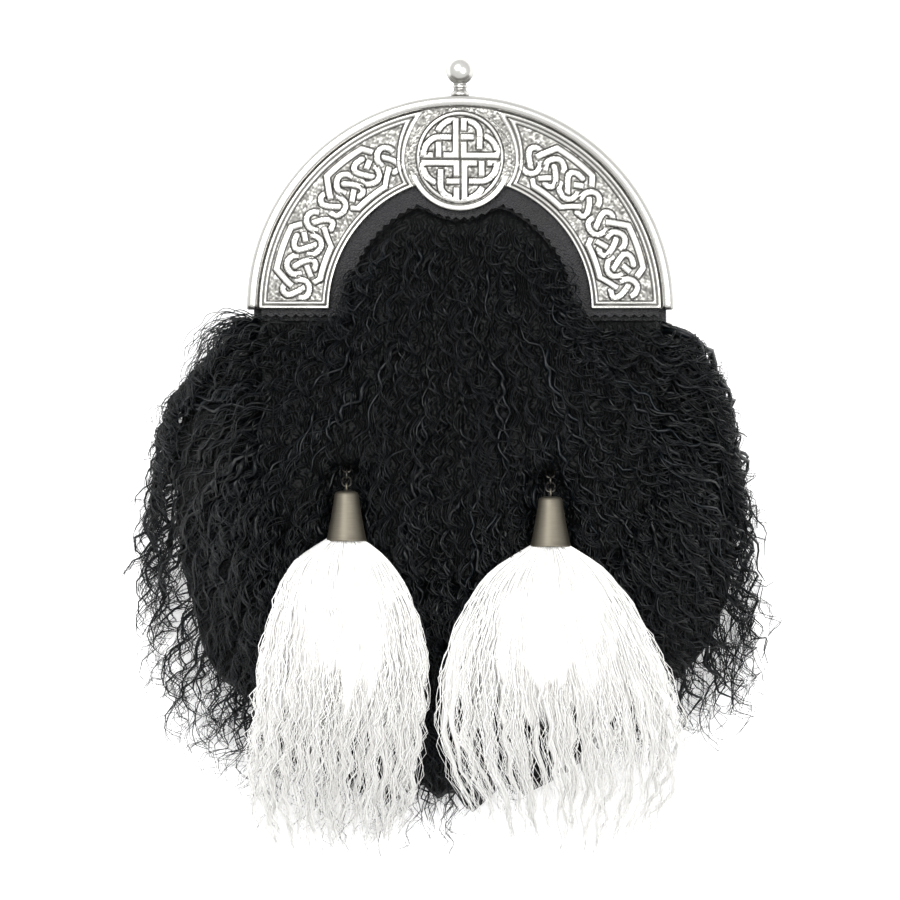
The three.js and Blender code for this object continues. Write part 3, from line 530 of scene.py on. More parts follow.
ROUNDEL = [
    ("corners", [-1.8, -1.8, -7.1], [17.2, 1.7, 1.7]),
    ("smooth", [-1.8, -5.0, -7.9, -9.4], [16.3, 15.9, 13.8, 11.5]),
    ("smooth", [-3.5, -9.2, -11.7, -14.2, -15.2, -15.4], [9.2, 9.2, 8.3, 5.8, 2.5, 0.9]),
    ("corners", [-15.4, -11.3], [1.7, 1.7]),
    ("corners", [-9.0, -9.0], [7.3, 0.6]),
    ("corners", [1.5, 1.5], [17.2, 11.7]),
    ("corners", [1.5, 1.5, 16.2], [7.3, 1.5, 1.5]),
    ("smooth", [15.3, 15.2, 13.8, 11.7, 10.0], [1.5, 4.2, 7.1, 9.0, 9.6]),
    ("smooth", [1.5, 4.2, 6.7, 8.1, 8.1], [15.9, 15.7, 14.2, 11.4, 4.0]),
    ("corners", [0.2, 5.8], [9.2, 9.2]),
]

# %% Distance to a strand


def rounded_line(points, per_span=6):
    """A smooth line through the points, as a uniform Catmull-Rom spline."""
    padded = np.vstack([points[:1], points, points[-1:]])
    line = []
    for p0, p1, p2, p3 in zip(padded, padded[1:], padded[2:], padded[3:]):
        for t in np.arange(per_span) / per_span:
            square, cube = 2 * p0 - 5 * p1 + 4 * p2 - p3, 3 * p1 - p0 - 3 * p2 + p3
            line.append(0.5 * (2 * p1 + (p2 - p0) * t + square * t**2 + cube * t**3))
    return np.array([*line, points[-1]])


MIDDLE, NEAR_END, FLAT_END = 0, 1, 2
END_ZONE = 1.3


def to_strand(u, v, line, width, round_ends):
    """Signed distance in mm from grid points to a strand's edge, negative inside it, and which
    edge is nearest: MIDDLE, a side NEAR_END, or a FLAT_END, which lies against another strand."""
    best, edge = np.full(u.shape, 9.0), np.full(u.shape, MIDDLE)
    reach = width + 1.5
    near = (u > line[:, 0].min() - reach) & (u < line[:, 0].max() + reach)
    near &= (v > line[:, 1].min() - reach) & (v < line[:, 1].max() + reach)
    pu, pv = u[near], v[near]
    found, nearest = np.full(pu.shape, 9.0), np.full(pu.shape, MIDDLE)
    steps = np.diff(line, axis=0)
    lengths = np.hypot(steps[:, 0], steps[:, 1])
    ways = steps / lengths[:, None]
    bends = np.arccos(np.clip((ways[1:] * ways[:-1]).sum(axis=1), -1, 1))
    mitre = np.concatenate([[0], width / 2 * np.tan(bends / 2), [0]])
    last = len(ways) - 1
    starts = np.concatenate([[0], np.cumsum(lengths)])
    for i in range(last + 1):
        du, dv = pu - line[i][0], pv - line[i][1]
        run = du * ways[i][0] + dv * ways[i][1]
        off = np.abs(dv * ways[i][0] - du * ways[i][1])
        before, after = -run - mitre[i], run - lengths[i] - mitre[i + 1]
        beyond = np.maximum(before, after)
        if round_ends and i in (0, last):
            distance = np.hypot(off, np.maximum(beyond, 0)) - width / 2
            flat = np.zeros(pu.shape, bool)
        else:
            across = off - width / 2
            outside = np.hypot(np.maximum(across, 0), np.maximum(beyond, 0))
            distance = outside + np.minimum(np.maximum(across, beyond), 0)
            flat = ((i == 0) & (before > 0)) | ((i == last) & (after > 0))
        along = starts[i] + run
        kind = np.where((along < END_ZONE) | (along > starts[-1] - END_ZONE), NEAR_END, MIDDLE)
        kind = np.where(flat, FLAT_END, kind)
        nearest = np.where(distance < found, kind, nearest)
        found = np.minimum(found, distance)
    best[near], edge[near] = found, nearest
    return best, edge


def strand_relief(u, v, strands, width):
    """Height from 0 to 1 of flat-topped strands, and the dark line cut beside each of them.
    The line along the middle of a strand also cuts the end of the one that dives under it."""
    height, groove, soft = np.zeros(u.shape), np.zeros(u.shape), np.zeros(u.shape)
    for line, round_ends in strands:
        distance, edge = to_strand(u, v, line, width, round_ends)
        height = np.maximum(height, 1 - ease(-0.20, 0.24, distance))
        beside = ease(-0.06, 0.12, distance) * (1 - ease(0.42, 0.66, distance))
        groove = np.maximum(groove, np.where(edge == MIDDLE, beside, 0))
        soft = np.maximum(soft, np.where(edge == NEAR_END, beside, 0))
    return height * (1 - 0.8 * groove), np.maximum(groove, soft * (1 - height))


# %% [markdown]
# The stippled ground between the strands was punched into the pattern with a blunt point, so it
# is a field of small random pits about a millimetre apart. Hollows collect patina, so that number
# is how much lower a point lies than its surroundings.

# %% Ground and patina


def blurred(values, passes):
    for _ in range(passes):
        for axis in (0, 1):
            padded = np.concatenate(
                [np.take(values, [0], axis), values, np.take(values, [-1], axis)], axis
            )
            size = values.shape[axis]
            before = np.take(padded, range(size), axis)
            after = np.take(padded, range(2, size + 2), axis)
            values = (before + 2 * values + after) / 4
    return values


def punched(shape):
    """A field of small random pits, from about -1 to 1."""
    pits = blurred(rng.normal(size=shape), 1)
    return np.clip(pits / pits.std() * 0.5, -1, 1)


STIPPLE = {"depth": 0.12, "tone": 0.44, "contrast": 0.32}


def patina_of(ground, pits, grooves):
    """0 on polished tops, about 0.4 on the stippled ground and 0.9 in cut lines."""
    stippled = ground * (STIPPLE["tone"] - STIPPLE["contrast"] * pits)
    return np.clip(np.maximum(stippled, 0.92 * grooves), 0, 1)


# %% Heights of the half-round plate
COLUMNS = 610
ROWS = 84
phi = np.linspace(0, math.pi, COLUMNS)[:, None] * np.ones(ROWS)
radius = np.ones(COLUMNS)[:, None] * np.linspace(ARCH_INNER, RIM_INNER + 0.3, ROWS)
plate_x, plate_y = radius * np.cos(phi), radius * np.sin(phi)

# The curved end of each panel, beside the roundel
END_INNER = (ARCH_INNER, 69.5)
END_OUTER = (PLATE_OUTER, 79.5)
END_BOW = np.array([-28.8, 63.2])


def on_arch(radius_mm, from_foot):
    angle = math.pi - math.radians(from_foot)
    return np.array([radius_mm * math.cos(angle), radius_mm * math.sin(angle)])


t = np.linspace(0, 1, 14)[:, None]
end_line = (1 - t) ** 2 * on_arch(*END_INNER) + 2 * t * (1 - t) * END_BOW + t**2 * on_arch(*END_OUTER)
mirrored_x = -np.abs(plate_x)
to_end = np.full(plate_x.shape, 99.0)
end_side = np.ones(plate_x.shape)
for start, stop in zip(end_line, end_line[1:]):
    step = stop - start
    du, dv = mirrored_x - start[0], plate_y - start[1]
    run = np.clip((du * step[0] + dv * step[1]) / (step @ step), 0, 1)
    distance = np.hypot(du - run * step[0], dv - run * step[1])
    closer = distance < to_end
    to_end = np.where(closer, distance, to_end)
    end_side = np.where(closer, np.sign(step[0] * dv - step[1] * du), end_side)
to_end = to_end * end_side / (1 + 0.35 * ease(60, 82, plate_y))

BORDER_BEADS = [
    {"inset": 0.66, "width": 1.34, "height": 0.8},
    {"inset": 2.48, "width": 1.1, "height": 0.66},
]
BORDER_GROOVES = [1.64, 3.32]
GROOVE_HALF = 0.3
RELIEF = 1.0
inset = np.minimum.reduce([PLATE_OUTER - radius, radius - ARCH_INNER, plate_y, to_end])
beads = np.zeros(plate_x.shape)
for bead in BORDER_BEADS:
    from_middle = np.abs(inset - bead["inset"]) / (bead["width"] / 2)
    beads = np.maximum(beads, bead["height"] * (1 - ease(0.6, 1.2, from_middle)))
grooves = np.zeros(plate_x.shape)
for line_inset in BORDER_GROOVES:
    grooves = np.maximum(grooves, 1 - ease(0.4, 1.3, np.abs(inset - line_inset) / GROOVE_HALF))

from_foot = np.degrees(np.where(plate_x < 0, math.pi - phi, math.pi - math.radians(RIGHT_TURN) - phi))
strip_u = np.radians(from_foot) * STRIP_RADIUS
strands = []
for ends, strand_angle, strand_radius in KNOT:
    line = np.column_stack([np.radians(strand_angle) * STRIP_RADIUS, strand_radius])
    if ends != "corners":
        line = rounded_line(line)
    for repeat in range(2):
        moved = line + (math.radians(REPEAT_ANGLE * repeat) * STRIP_RADIUS, 0)
        strands.append((moved, ends == "round"))
knot, knot_grooves = strand_relief(strip_u, radius, strands, STRAND)
knot_grooves = knot_grooves * ease(3.1, 3.5, inset)

relief = np.maximum(beads, RELIEF * knot)
grooves = np.maximum(grooves, knot_grooves)
ground = (1 - ease(0.05, 0.5, relief)) * (1 - grooves)
pits = punched(plate_x.shape)
beside_rim = ease(PLATE_OUTER, PLATE_OUTER + 0.3, radius)
plate_height = relief + STIPPLE["depth"] * pits * ground - 0.2 * beside_rim
plate_patina = patina_of(ground, pits, np.maximum(grooves, 0.75 * beside_rim))
print("The plate's relief rises", round(float(plate_height.max()), 2), "mm")

# %% [markdown]
# ## The cast top: its mesh
# The height grid becomes the front of the plate. Its outer edge drops to the plate's back, where
# one flat face closes the body. The roundel is a second grid, stretched from a square to a disc
# so that its cells stay even, and the rim is a rounded section swept round the arch.

# %% Closed bodies from grids


def grid_faces(columns, rows, offset=0):
    index = np.arange(columns * rows).reshape(columns, rows) + offset
    corners = [index[:-1, :-1], index[1:, :-1], index[1:, 1:], index[:-1, 1:]]
    return np.stack(corners, axis=-1).reshape(-1, 4)


def grid_border(columns, rows, offset=0):
    """The point numbers round the edge of a grid, in order."""
    index = np.arange(columns * rows).reshape(columns, rows) + offset
    sides = [index[:-1, 0], index[-1, :-1], index[:0:-1, -1], index[0, :0:-1]]
    return np.concatenate(sides)


def swept_faces(sections, corners):
    """Faces of a closed section of corners points swept through sections places, with both ends."""
    index = np.arange(sections * corners).reshape(sections, corners)
    turned = np.roll(index, -1, axis=1)
    quads = np.stack([index[:-1], index[1:], turned[1:], turned[:-1]], axis=-1)
    return quads.reshape(-1, 4).tolist() + [index[0].tolist(), index[-1, ::-1].tolist()]


def closed_relief(x, y, z, bottom, flip):
    """A height grid with a skirt down to a flat back."""
    columns, rows = x.shape
    top = np.stack([x, y, z], axis=-1).reshape(-1, 3)
    border = grid_border(columns, rows)
    skirt = top[border].copy()
    skirt[:, 2] = bottom
    below = np.arange(len(border)) + len(top)
    after = np.roll(np.arange(len(border)), -1)
    walls = np.stack([border[after], border, below, below[after]], axis=-1)
    faces = grid_faces(columns, rows).tolist() + walls.tolist() + [below[::-1].tolist()]
    if flip:
        faces = [face[::-1] for face in faces]
    return np.vstack([top, skirt]), faces


def joined(parts):
    """Several (points, faces, marks) parts as one. The marks are patina, with painted shade on the rim's
    outer wall.
    """
    points, faces, patina_and_shade = [], [], []
    offset = 0
    for part_points, part_faces, part_patina in parts:
        points.append(part_points)
        faces += [[i + offset for i in face] for face in part_faces]
        patina_and_shade.append(np.broadcast_to(part_patina, len(part_points)))
        offset += len(part_points)
    return np.vstack(points), faces, np.concatenate(patina_and_shade)


plate_points, plate_faces = closed_relief(plate_x, plate_y, FIELD_Z + plate_height, PLATE_Z, flip=True)
plate_marks = np.full(len(plate_points), 0.3)
plate_marks[: plate_patina.size] = plate_patina.ravel()

# %% The roundel
BOSS_RADIUS = 21.7
DISC = 124
side_u, side_v = np.meshgrid(np.linspace(-1, 1, DISC), np.linspace(-1, 1, DISC), indexing="ij")
disc_x = BOSS_RADIUS * side_u * np.sqrt(1 - side_v**2 / 2)
disc_y = BOSS_RADIUS * side_v * np.sqrt(1 - side_u**2 / 2)
RING = {"centre": (0.0, 0.8), "radius": (17.45, 18.3), "width": 1.5}
ring_x = (disc_x - RING["centre"][0]) / RING["radius"][0]
ring_y = (disc_y - RING["centre"][1]) / RING["radius"][1]
ring_reach = (np.hypot(ring_x, ring_y) - 1) * RING["radius"][0]
ring = 1 - ease(0.6, 1.2, np.abs(ring_reach) / (RING["width"] / 2))
inside = ring_reach < 0
strands = []
for ends, strand_x, strand_y in ROUNDEL:
    line = np.column_stack([strand_x, strand_y]).astype(float)
    if ends != "corners":
        line = rounded_line(line)
    strands += [(line, False), (-line, False)]
knot, knot_grooves = strand_relief(disc_x, disc_y, strands, ROUNDEL_STRAND)
from_rim = BOSS_RADIUS - np.hypot(disc_x, disc_y)
lip = (1 - ease(2.2, 2.8, from_rim)) * ease(-5, -11, disc_y) * ease(-0.3, 0.5, from_rim)
raised = np.maximum.reduce([1.0 * ring, 1.1 * knot * inside, 0.95 * lip])
past_ring = np.abs(ring_reach) - RING["width"] / 2
ring_grooves = ease(-0.1, 0.1, past_ring) * (1 - ease(0.35, 0.6, past_ring))
ring_grooves = np.where(inside & (knot > 0.5), 0, ring_grooves)
boss_grooves = np.maximum(knot_grooves * inside, ring_grooves)
boss_ground = (1 - ease(0.05, 0.5, raised)) * (1 - boss_grooves)
boss_pits = punched(disc_x.shape)
boss_height = 0.3 + raised + STIPPLE["depth"] * boss_pits * boss_ground
boss_patina = np.maximum(patina_of(boss_ground, boss_pits, boss_grooves), 0.08)
boss_points, boss_faces = closed_relief(
    disc_x + ROUNDEL_AT[0], disc_y + ROUNDEL_AT[1], FIELD_Z + boss_height, PLATE_Z, flip=False
)
boss_marks = np.full(len(boss_points), 0.25)
boss_marks[: boss_patina.size] = boss_patina.ravel()

# %% The rim and its side wall
RIM_Z = level("cantle", top=True)
SIDE_WALL_Z = level("cantle", top=False)
WALL = 2.3
RIM_SECTION = np.array(
    [
        (ARCH_OUTER - WALL, SIDE_WALL_Z),
        (ARCH_OUTER - 0.4, SIDE_WALL_Z),
        (ARCH_OUTER, SIDE_WALL_Z + 0.4),
        (ARCH_OUTER, RIM_Z - 2.2),
        (ARCH_OUTER - 0.15, RIM_Z - 1.3),
        (ARCH_OUTER - 0.55, RIM_Z - 0.65),
        (ARCH_OUTER - 1.2, RIM_Z - 0.2),
        (ARCH_OUTER - 2.1, RIM_Z),
        (ARCH_OUTER - 3.0, RIM_Z - 0.08),
        (ARCH_OUTER - 3.7, RIM_Z - 0.45),
        (RIM_INNER + 0.15, RIM_Z - 1.0),
        (RIM_INNER, RIM_Z - 1.6),
        (RIM_INNER, PLATE_Z),
        (ARCH_OUTER - WALL, PLATE_Z),
    ]
)
# Grey along the rim's section: patina in the corner against the plate, and painted shade on the outer
# wall and its shoulder, which face sideways
RIM_PATINA_AND_SHADE = [0.5, 0.4, 0.4, 0.42, 0.32, 0.2, 0.06, 0, 0, 0, 0.14, 0.6, 0.5, 0.5]
RIM_STEPS = 140
swing = np.linspace(0, math.pi, RIM_STEPS)
rim_points = np.stack(
    [
        np.cos(swing)[:, None] * RIM_SECTION[:, 0],
        np.sin(swing)[:, None] * RIM_SECTION[:, 0],
        np.ones(RIM_STEPS)[:, None] * RIM_SECTION[:, 1],
    ],
    axis=-1,
)
rim_faces = [face[::-1] for face in swept_faces(RIM_STEPS, len(RIM_SECTION))]
rim_marks = np.tile(RIM_PATINA_AND_SHADE, RIM_STEPS)

cast_points, cast_faces, cast_marks = joined(
    [
        (plate_points, plate_faces, plate_marks),
        (boss_points, boss_faces, boss_marks),
        (rim_points.reshape(-1, 3), rim_faces, rim_marks),
    ]
)
cast_top = piece("cast_top", cast_points, cast_faces, antique_pewter, ["cantle"])
marks = cast_top.data.attributes.new("patina_and_shade", "FLOAT", "POINT")
marks.data.foreach_set("value", cast_marks.astype(np.float32))
print("cast_top has", triangles(cast_top), "triangles")

# %% [markdown]
# ## The knob
# The finial is turned on a lathe, so it is a profile spun round the pouch's middle line: a
# flared ring on the rim, a waist, a collar and a ball.

# %% Finial


def wire_faces(steps, sides):
    """Faces of a closed wire of steps rings with sides points each."""
    index = np.arange(steps * sides).reshape(steps, sides)
    ahead, turned = np.roll(index, -1, axis=0), np.roll(index, -1, axis=1)
    quads = np.stack([index, ahead, np.roll(ahead, -1, axis=1), turned], axis=-1)
    return quads.reshape(-1, 4).tolist()


def spun(profile, steps, centre):
    """A closed profile of (radius, height) spun round a line along +Y through centre."""
    profile = np.asarray(profile, float)
    turn = np.arange(steps) * 2 * math.pi / steps
    points = np.stack(
        [
            np.cos(turn)[:, None] * profile[:, 0],
            np.ones(steps)[:, None] * profile[:, 1],
            np.sin(turn)[:, None] * profile[:, 0],
        ],
        axis=-1,
    ) + np.asarray(centre, float)
    count = len(profile)
    index = np.arange(steps * count).reshape(steps, count)
    ahead = np.roll(index, -1, axis=0)
    faces = np.stack([index[:, :-1], index[:, 1:], ahead[:, 1:], ahead[:, :-1]], axis=-1)
    return points.reshape(-1, 3), faces.reshape(-1, 4).tolist()


def welded(made, distance=0.01):
    """Merges points that lie on one another, and faces every face outward."""
    shape = bmesh.new()
    shape.from_mesh(made.data)
    bmesh.ops.remove_doubles(shape, verts=shape.verts, dist=distance * MM)
    bmesh.ops.recalc_face_normals(shape, faces=shape.faces)
    shape.to_mesh(made.data)
    shape.free()
    return made


finial_low, finial_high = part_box("finial")
BALL = 6.0
ball_at = finial_high.y / MM - BALL - finial_low.y / MM
NECK = [(0, 0), (3.5, 0), (3.8, 0.3), (3.8, 1.2), (3.5, 1.7), (2.9, 2.1), (2.6, 2.8), (2.6, 3.3)]
NECK += [(2.95, 3.7), (3.0, 4.2), (2.7, 4.7)]
angles = np.linspace(math.pi - math.asin(2.7 / BALL), 0, 22)
ball = [(BALL * math.sin(a), ball_at + BALL * math.cos(a)) for a in angles]
finial_centre = (0, finial_low.y / MM, (finial_low.z + finial_high.z) / 2 / MM)
finial_points, finial_faces = spun(NECK + ball, 48, finial_centre)
knob = piece("knob", finial_points, finial_faces, antique_pewter, ["finial"])
welded(knob)
# The waist, which the polishing wheel doesn't reach well, keeps its grey patina. The ball's
# sides get painted shade, darker the more they face sideways.
knob_marks = knob.data.attributes.new("patina_and_shade", "FLOAT", "POINT")
heights = np.array([v.co.y / MM for v in knob.data.vertices]) - finial_low.y / MM
upward = np.array([v.normal.z for v in knob.data.vertices])
# Painted shade: the ball's sides darken as the surface turns away from straight up
sides = 0.34 * (1 - np.clip(upward, 0, 1)) ** 1.5
waist = 0.4 * np.exp(-(((heights - 2.5) / 0.8) ** 2)) + 0.5 * np.exp(-(((heights - 4.9) / 0.45) ** 2))
knob_marks.data.foreach_set("value", np.clip(sides + waist, 0, 1).astype(np.float32))
print("knob has", triangles(knob), "triangles")

# %% [markdown]
# ## The pinked facing
# A strip of leather lies between the metal and the fleece. Its edge was cut with a pinking tool,
# which leaves teeth about 4 mm apart. It dips round the lower edge of the roundel.

# %% Leather facing
FACING_OUTER = 83.0
FACING_INNER = 46.0
FACING_FOOT = -3.7
FACING_DIP = 25.4
TOOTH_PITCH = 4.0
TOOTH_DEPTH = 1.3


def inner_edge(angle):
    """Distance from the arch's centre to the facing's edge, round the foot of the roundel."""
    height, across = ROUNDEL_AT[1] * np.sin(angle), ROUNDEL_AT[1] * np.cos(angle)
    under = np.maximum(FACING_DIP**2 - across**2, 0)
    return np.where(under > 0, np.minimum(FACING_INNER, height - np.sqrt(under)), FACING_INNER)


def extruded(name, outline, bottom, top, bevel, finish, replaced=(), holes=()):
    """A flat outline with holes raised to a slab with softened edges."""
    shape = bmesh.new()
    for loop in (outline, *holes):
        corners = [shape.verts.new((x * MM, y * MM, bottom * MM)) for x, y in loop]
        for start, stop in zip(corners, corners[1:] + corners[:1]):
            shape.edges.new((start, stop))
    bmesh.ops.triangle_fill(shape, use_beauty=True, use_dissolve=True, edges=shape.edges[:])
    bmesh.ops.recalc_face_normals(shape, faces=shape.faces)
    raised = bmesh.ops.extrude_face_region(shape, geom=shape.faces[:])
    lifted = [part for part in raised["geom"] if isinstance(part, bmesh.types.BMVert)]
    bmesh.ops.translate(shape, verts=lifted, vec=(0, 0, (top - bottom) * MM))
    bmesh.ops.recalc_face_normals(shape, faces=shape.faces)
    mesh = bpy.data.meshes.new(name)
    shape.to_mesh(mesh)
    shape.free()
    mesh.materials.append(finish)
    made = bpy.data.objects.new(name, mesh)
    bpy.context.scene.collection.objects.link(made)
    if bevel:
        soften = made.modifiers.new("softened_edge", "BEVEL")
        soften.width = bevel * MM
        soften.segments = 2
        soften.limit_method = "ANGLE"
        soften.angle_limit = math.radians(50)
        evaluated = made.evaluated_get(bpy.context.evaluated_depsgraph_get())
        softened = bpy.data.meshes.new_from_object(evaluated)
        made.modifiers.clear()
        made.data = softened
    return seated(made, replaced)


teeth = round(math.pi * FACING_INNER / TOOTH_PITCH)
foot_teeth = round((FACING_OUTER - FACING_INNER) / TOOTH_PITCH)
foot_x = np.linspace(FACING_OUTER, FACING_INNER, 2 * foot_teeth + 1)
foot_y = FACING_FOOT + (np.arange(2 * foot_teeth + 1) % 2) * TOOTH_DEPTH
arch_angle = math.pi * np.arange(1, 2 * teeth) / (2 * teeth)
arch_radius = inner_edge(arch_angle) + (np.arange(1, 2 * teeth) % 2) * TOOTH_DEPTH
back_angle = np.linspace(math.pi, 0, 60)[1:-1]
facing_outline = [
    *zip(foot_x, foot_y),
    *zip(arch_radius * np.cos(arch_angle), arch_radius * np.sin(arch_angle)),
    *zip(-foot_x[::-1], foot_y[::-1]),
    *zip(FACING_OUTER * np.cos(back_angle), FACING_OUTER * np.sin(back_angle)),
]
facing = extruded(
    "pinked_facing", facing_outline, FACING_Z, FACING_Z + FACING, 0.18, facing_leather,
    ["leather_trim"],
)
print("pinked_facing has", triangles(facing), "triangles and", teeth, "teeth round the arch")

# %% [markdown]
# ## The leather pouch
# The pouch behind the fleece is plain: a front wall, a gusset bent round the outline, a back
# wall with the mouth, and a flap with a press stud. Its walls are 2 mm leather with softened
# edges, sewn with a running stitch.

# %% Outlines of the pouch
POUCH_RADIUS = 86.2
POUCH_BOTTOM = -118.0
POUCH_CORNER = 55.0


def arc(centre, radius_mm, start, stop, steps):
    angle = np.radians(np.linspace(start, stop, steps))
    return np.column_stack([centre[0] + radius_mm * np.cos(angle), centre[1] + radius_mm * np.sin(angle)])


def pouch_outline(inset_mm):
    reach = POUCH_RADIUS - inset_mm
    corner = POUCH_CORNER - inset_mm
    low = POUCH_BOTTOM + inset_mm + corner
    return np.vstack(
        [
            arc((0, 0), reach, 0, 180, 72),
            arc((-reach + corner, low), corner, 180, 270, 24),
            arc((reach - corner, low), corner, 270, 360, 24),
        ]
    )


def rounded_box(low_x, high_x, low_y, high_y, low_corner, high_corner=1.0):
    return np.vstack(
        [
            arc((high_x - high_corner, high_y - high_corner), high_corner, 0, 90, 6),
            arc((low_x + high_corner, high_y - high_corner), high_corner, 90, 180, 6),
            arc((low_x + low_corner, low_y + low_corner), low_corner, 180, 270, 16),
            arc((high_x - low_corner, low_y + low_corner), low_corner, 270, 360, 16),
        ]
    )


MOUTH = {"half": 60, "middle": -6, "corner": 8}
STUD = {"y": -30, "cap": 5.4, "post": 2.0, "clear": 0.4}
gusset = extruded(
    "gusset_wall", pouch_outline(0), GUSSET_Z, FRONT_Z - 0.3, 0.4, black_leather,
    ["gusset"], [pouch_outline(LEATHER)],
)
mouth_low, mouth_high = MOUTH["middle"] - MOUTH["corner"], MOUTH["middle"] + MOUTH["corner"]
mouth = rounded_box(-MOUTH["half"], MOUTH["half"], mouth_low, mouth_high, 7.9, 7.9)
post_hole = arc((0, STUD["y"]), STUD["post"] + STUD["clear"], 0, 345, 24)
back_wall = extruded(
    "back_wall", pouch_outline(0), BACK_Z, BACK_Z + LEATHER, 0.4, black_leather,
    ["back_panel"], [mouth, post_hole],
)
front_wall = extruded(
    "front_wall", pouch_outline(0), FRONT_Z, FRONT_Z + LEATHER, 0.4, black_leather,
    ["front_panel"],
)
flap_low, flap_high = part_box("back_flap")
cap_hole = arc((0, STUD["y"]), STUD["cap"] + STUD["clear"], 0, 345, 32)
flap = extruded(
    "flap",
    rounded_box(flap_low.x / MM, flap_high.x / MM, flap_low.y / MM, flap_high.y / MM, 22),
    0, LEATHER, 0.45, black_leather, ["back_flap"], [cap_hole],
)
print("pouch walls:", [triangles(wall) for wall in (gusset, back_wall, front_wall, flap)])

# %% [markdown]
# The press stud is one spun piece, flush with the flap. Two leather tabs are folded round the
# bars of the belt rings, where the belt's chain hooks in.

# %% Stud, tabs and rings
STUD_PROFILE = [
    (0, 0.35), (3.6, 0.2), (4.9, 0.35), (5.35, 0.8), (5.4, 1.9), (2.0, 1.9), (2.0, 4.0), (0, 4.1)
]
stud_points, stud_faces = spun(STUD_PROFILE, 36, (0, 0, 0))
stud_points = np.column_stack([stud_points[:, 0], stud_points[:, 2] + STUD["y"], stud_points[:, 1]])
stud = piece("press_stud", stud_points, stud_faces, satin_nickel, ["snap_stud"])
welded(stud)

RING_BAR_Y = 48.0
TAB_X = {"left": -42.0, "right": 42.0}
TAB = {"half": 8.0, "length": 27.0, "leather": 1.8, "eye": 1.6}
BELT_RING = {"width": 22.0, "height": 14.0, "wire": 1.25}
for side, x in TAB_X.items():
    top = BACK_Z - GAP
    reach = TAB["eye"] + TAB["leather"]
    eye_z = top - reach
    meets = 180 - math.degrees(math.asin((reach - TAB["leather"]) / reach))
    fold = arc((RING_BAR_Y, eye_z), reach, 90, meets - 360, 40)
    tab_end = RING_BAR_Y - TAB["length"]
    outline = [(tab_end, top), *fold, (tab_end, top - TAB["leather"])]
    eye = arc((RING_BAR_Y, eye_z), TAB["eye"], 0, 345, 24)
    tab = extruded(
        f"folded_tab_{side}", outline, -TAB["half"], TAB["half"], 0.3, black_leather,
        [f"ring_tab_{side}"], [eye],
    )
    seen = np.array([vertex.co for vertex in tab.data.vertices])
    placed = np.column_stack([seen[:, 2] + x * MM, seen[:, 0], seen[:, 1]])
    tab.data.vertices.foreach_set("co", placed.ravel())
    tab.data.update()
    turn = np.linspace(0, 1, 49)[:-1]
    bow = np.clip((turn - 0.3) / 0.7, 0, 1) * math.pi
    bar_x = (turn / 0.3 - 0.5) * BELT_RING["width"]
    loop_x = np.where(turn < 0.3, bar_x, BELT_RING["width"] / 2 * np.cos(bow))
    loop_y = np.where(turn < 0.3, 0, BELT_RING["height"] * np.sin(bow) ** 0.8)
    loop = np.column_stack([loop_x + x, loop_y + RING_BAR_Y, np.full(len(turn), eye_z)])
    along = normalised(np.roll(loop, -1, axis=0) - np.roll(loop, 1, axis=0))
    outward = np.cross(along, (0, 0, 1.0))
    turn_angle = np.arange(10) * 2 * math.pi / 10
    section = np.cos(turn_angle)[:, None] * outward[:, None]
    section = section + np.sin(turn_angle)[:, None] * np.array([0, 0, 1.0])
    ring_points = (loop[:, None] + BELT_RING["wire"] * section).reshape(-1, 3)
    ring_faces = wire_faces(len(loop), 10)
    piece(
        f"belt_ring_wire_{side}", ring_points, ring_faces, satin_nickel,
        [f"belt_ring_{side}"],
    )
print("stud, tabs and rings made")

# %% [markdown]
# Stitches are short raised arcs of waxed thread, 3.2 mm long with 1 mm between them.

# %% Running stitches
STITCH = {"length": 3.2, "gap": 1.0, "thread": 0.28, "rise": 0.35}


def stitched(name, lines, z, down):
    """Stitches along open lines on a flat face; down is True on a face that looks down."""
    pitch = STITCH["length"] + STITCH["gap"]
    paths = []
    for line in lines:
        line = np.asarray(line, float)
        spans = np.hypot(*np.diff(line, axis=0).T)
        total = spans.sum()
        at = np.concatenate([[0], np.cumsum(spans)])
        for start in np.arange(0.5, total - STITCH["length"], pitch):
            run = start + STITCH["length"] * np.linspace(0, 1, 5)
            lift = STITCH["rise"] * np.sin(np.linspace(0, math.pi, 5)) - STITCH["thread"] * 0.6
            height = z - lift if down else z + lift
            x, y = np.interp(run, at, line[:, 0]), np.interp(run, at, line[:, 1])
            paths.append(np.column_stack([x, y, height]))
    paths = np.array(paths)
    points, faces = tube_bundle(paths, np.full(paths.shape[:2], STITCH["thread"]), 6)
    return piece(name, points, faces, waxed_thread)


flap_seam = [[(flap_low.x / MM + 4, 10.5), (flap_high.x / MM - 4, 10.5)]]
flap_stitches = stitched("flap_stitches", flap_seam, 0, down=True)
panel_seam = pouch_outline(3.5)
panel_stitches = stitched("panel_stitches", [np.vstack([panel_seam, panel_seam[:1]])], BACK_Z, down=True)
tab_lines = []
for x in TAB_X.values():
    tab_lines += [
        [(x - 6, 23), (x + 6, 23)],
        [(x - 6, 24), (x - 6, 40)],
        [(x + 6, 24), (x + 6, 40)],
        [(x - 6, 40.5), (x + 6, 40.5)],
    ]
tab_stitches = stitched("tab_stitches", tab_lines, BACK_Z - GAP - TAB["leather"], down=True)
print("stitches:", [triangles(made) for made in (flap_stitches, panel_stitches, tab_stitches)])

# %% [markdown]
# ## How the hair lies
# The fleece is a level cushion over the pouch, and outside it the hair falls to the table. The
# tassels' heavy cones press a bed into it. One function gives the top of the black hair at any
# place, and everything that lies on the fleece is set from it.

# %% The top of the fleece
CONE = {"length": 20.5, "z": 42.0, "radius": 8.4}
TASSELS = {
    "left": {"x": -47.2, "top": -76.2},
    "right": {"x": 37.6, "top": -78.5},
}


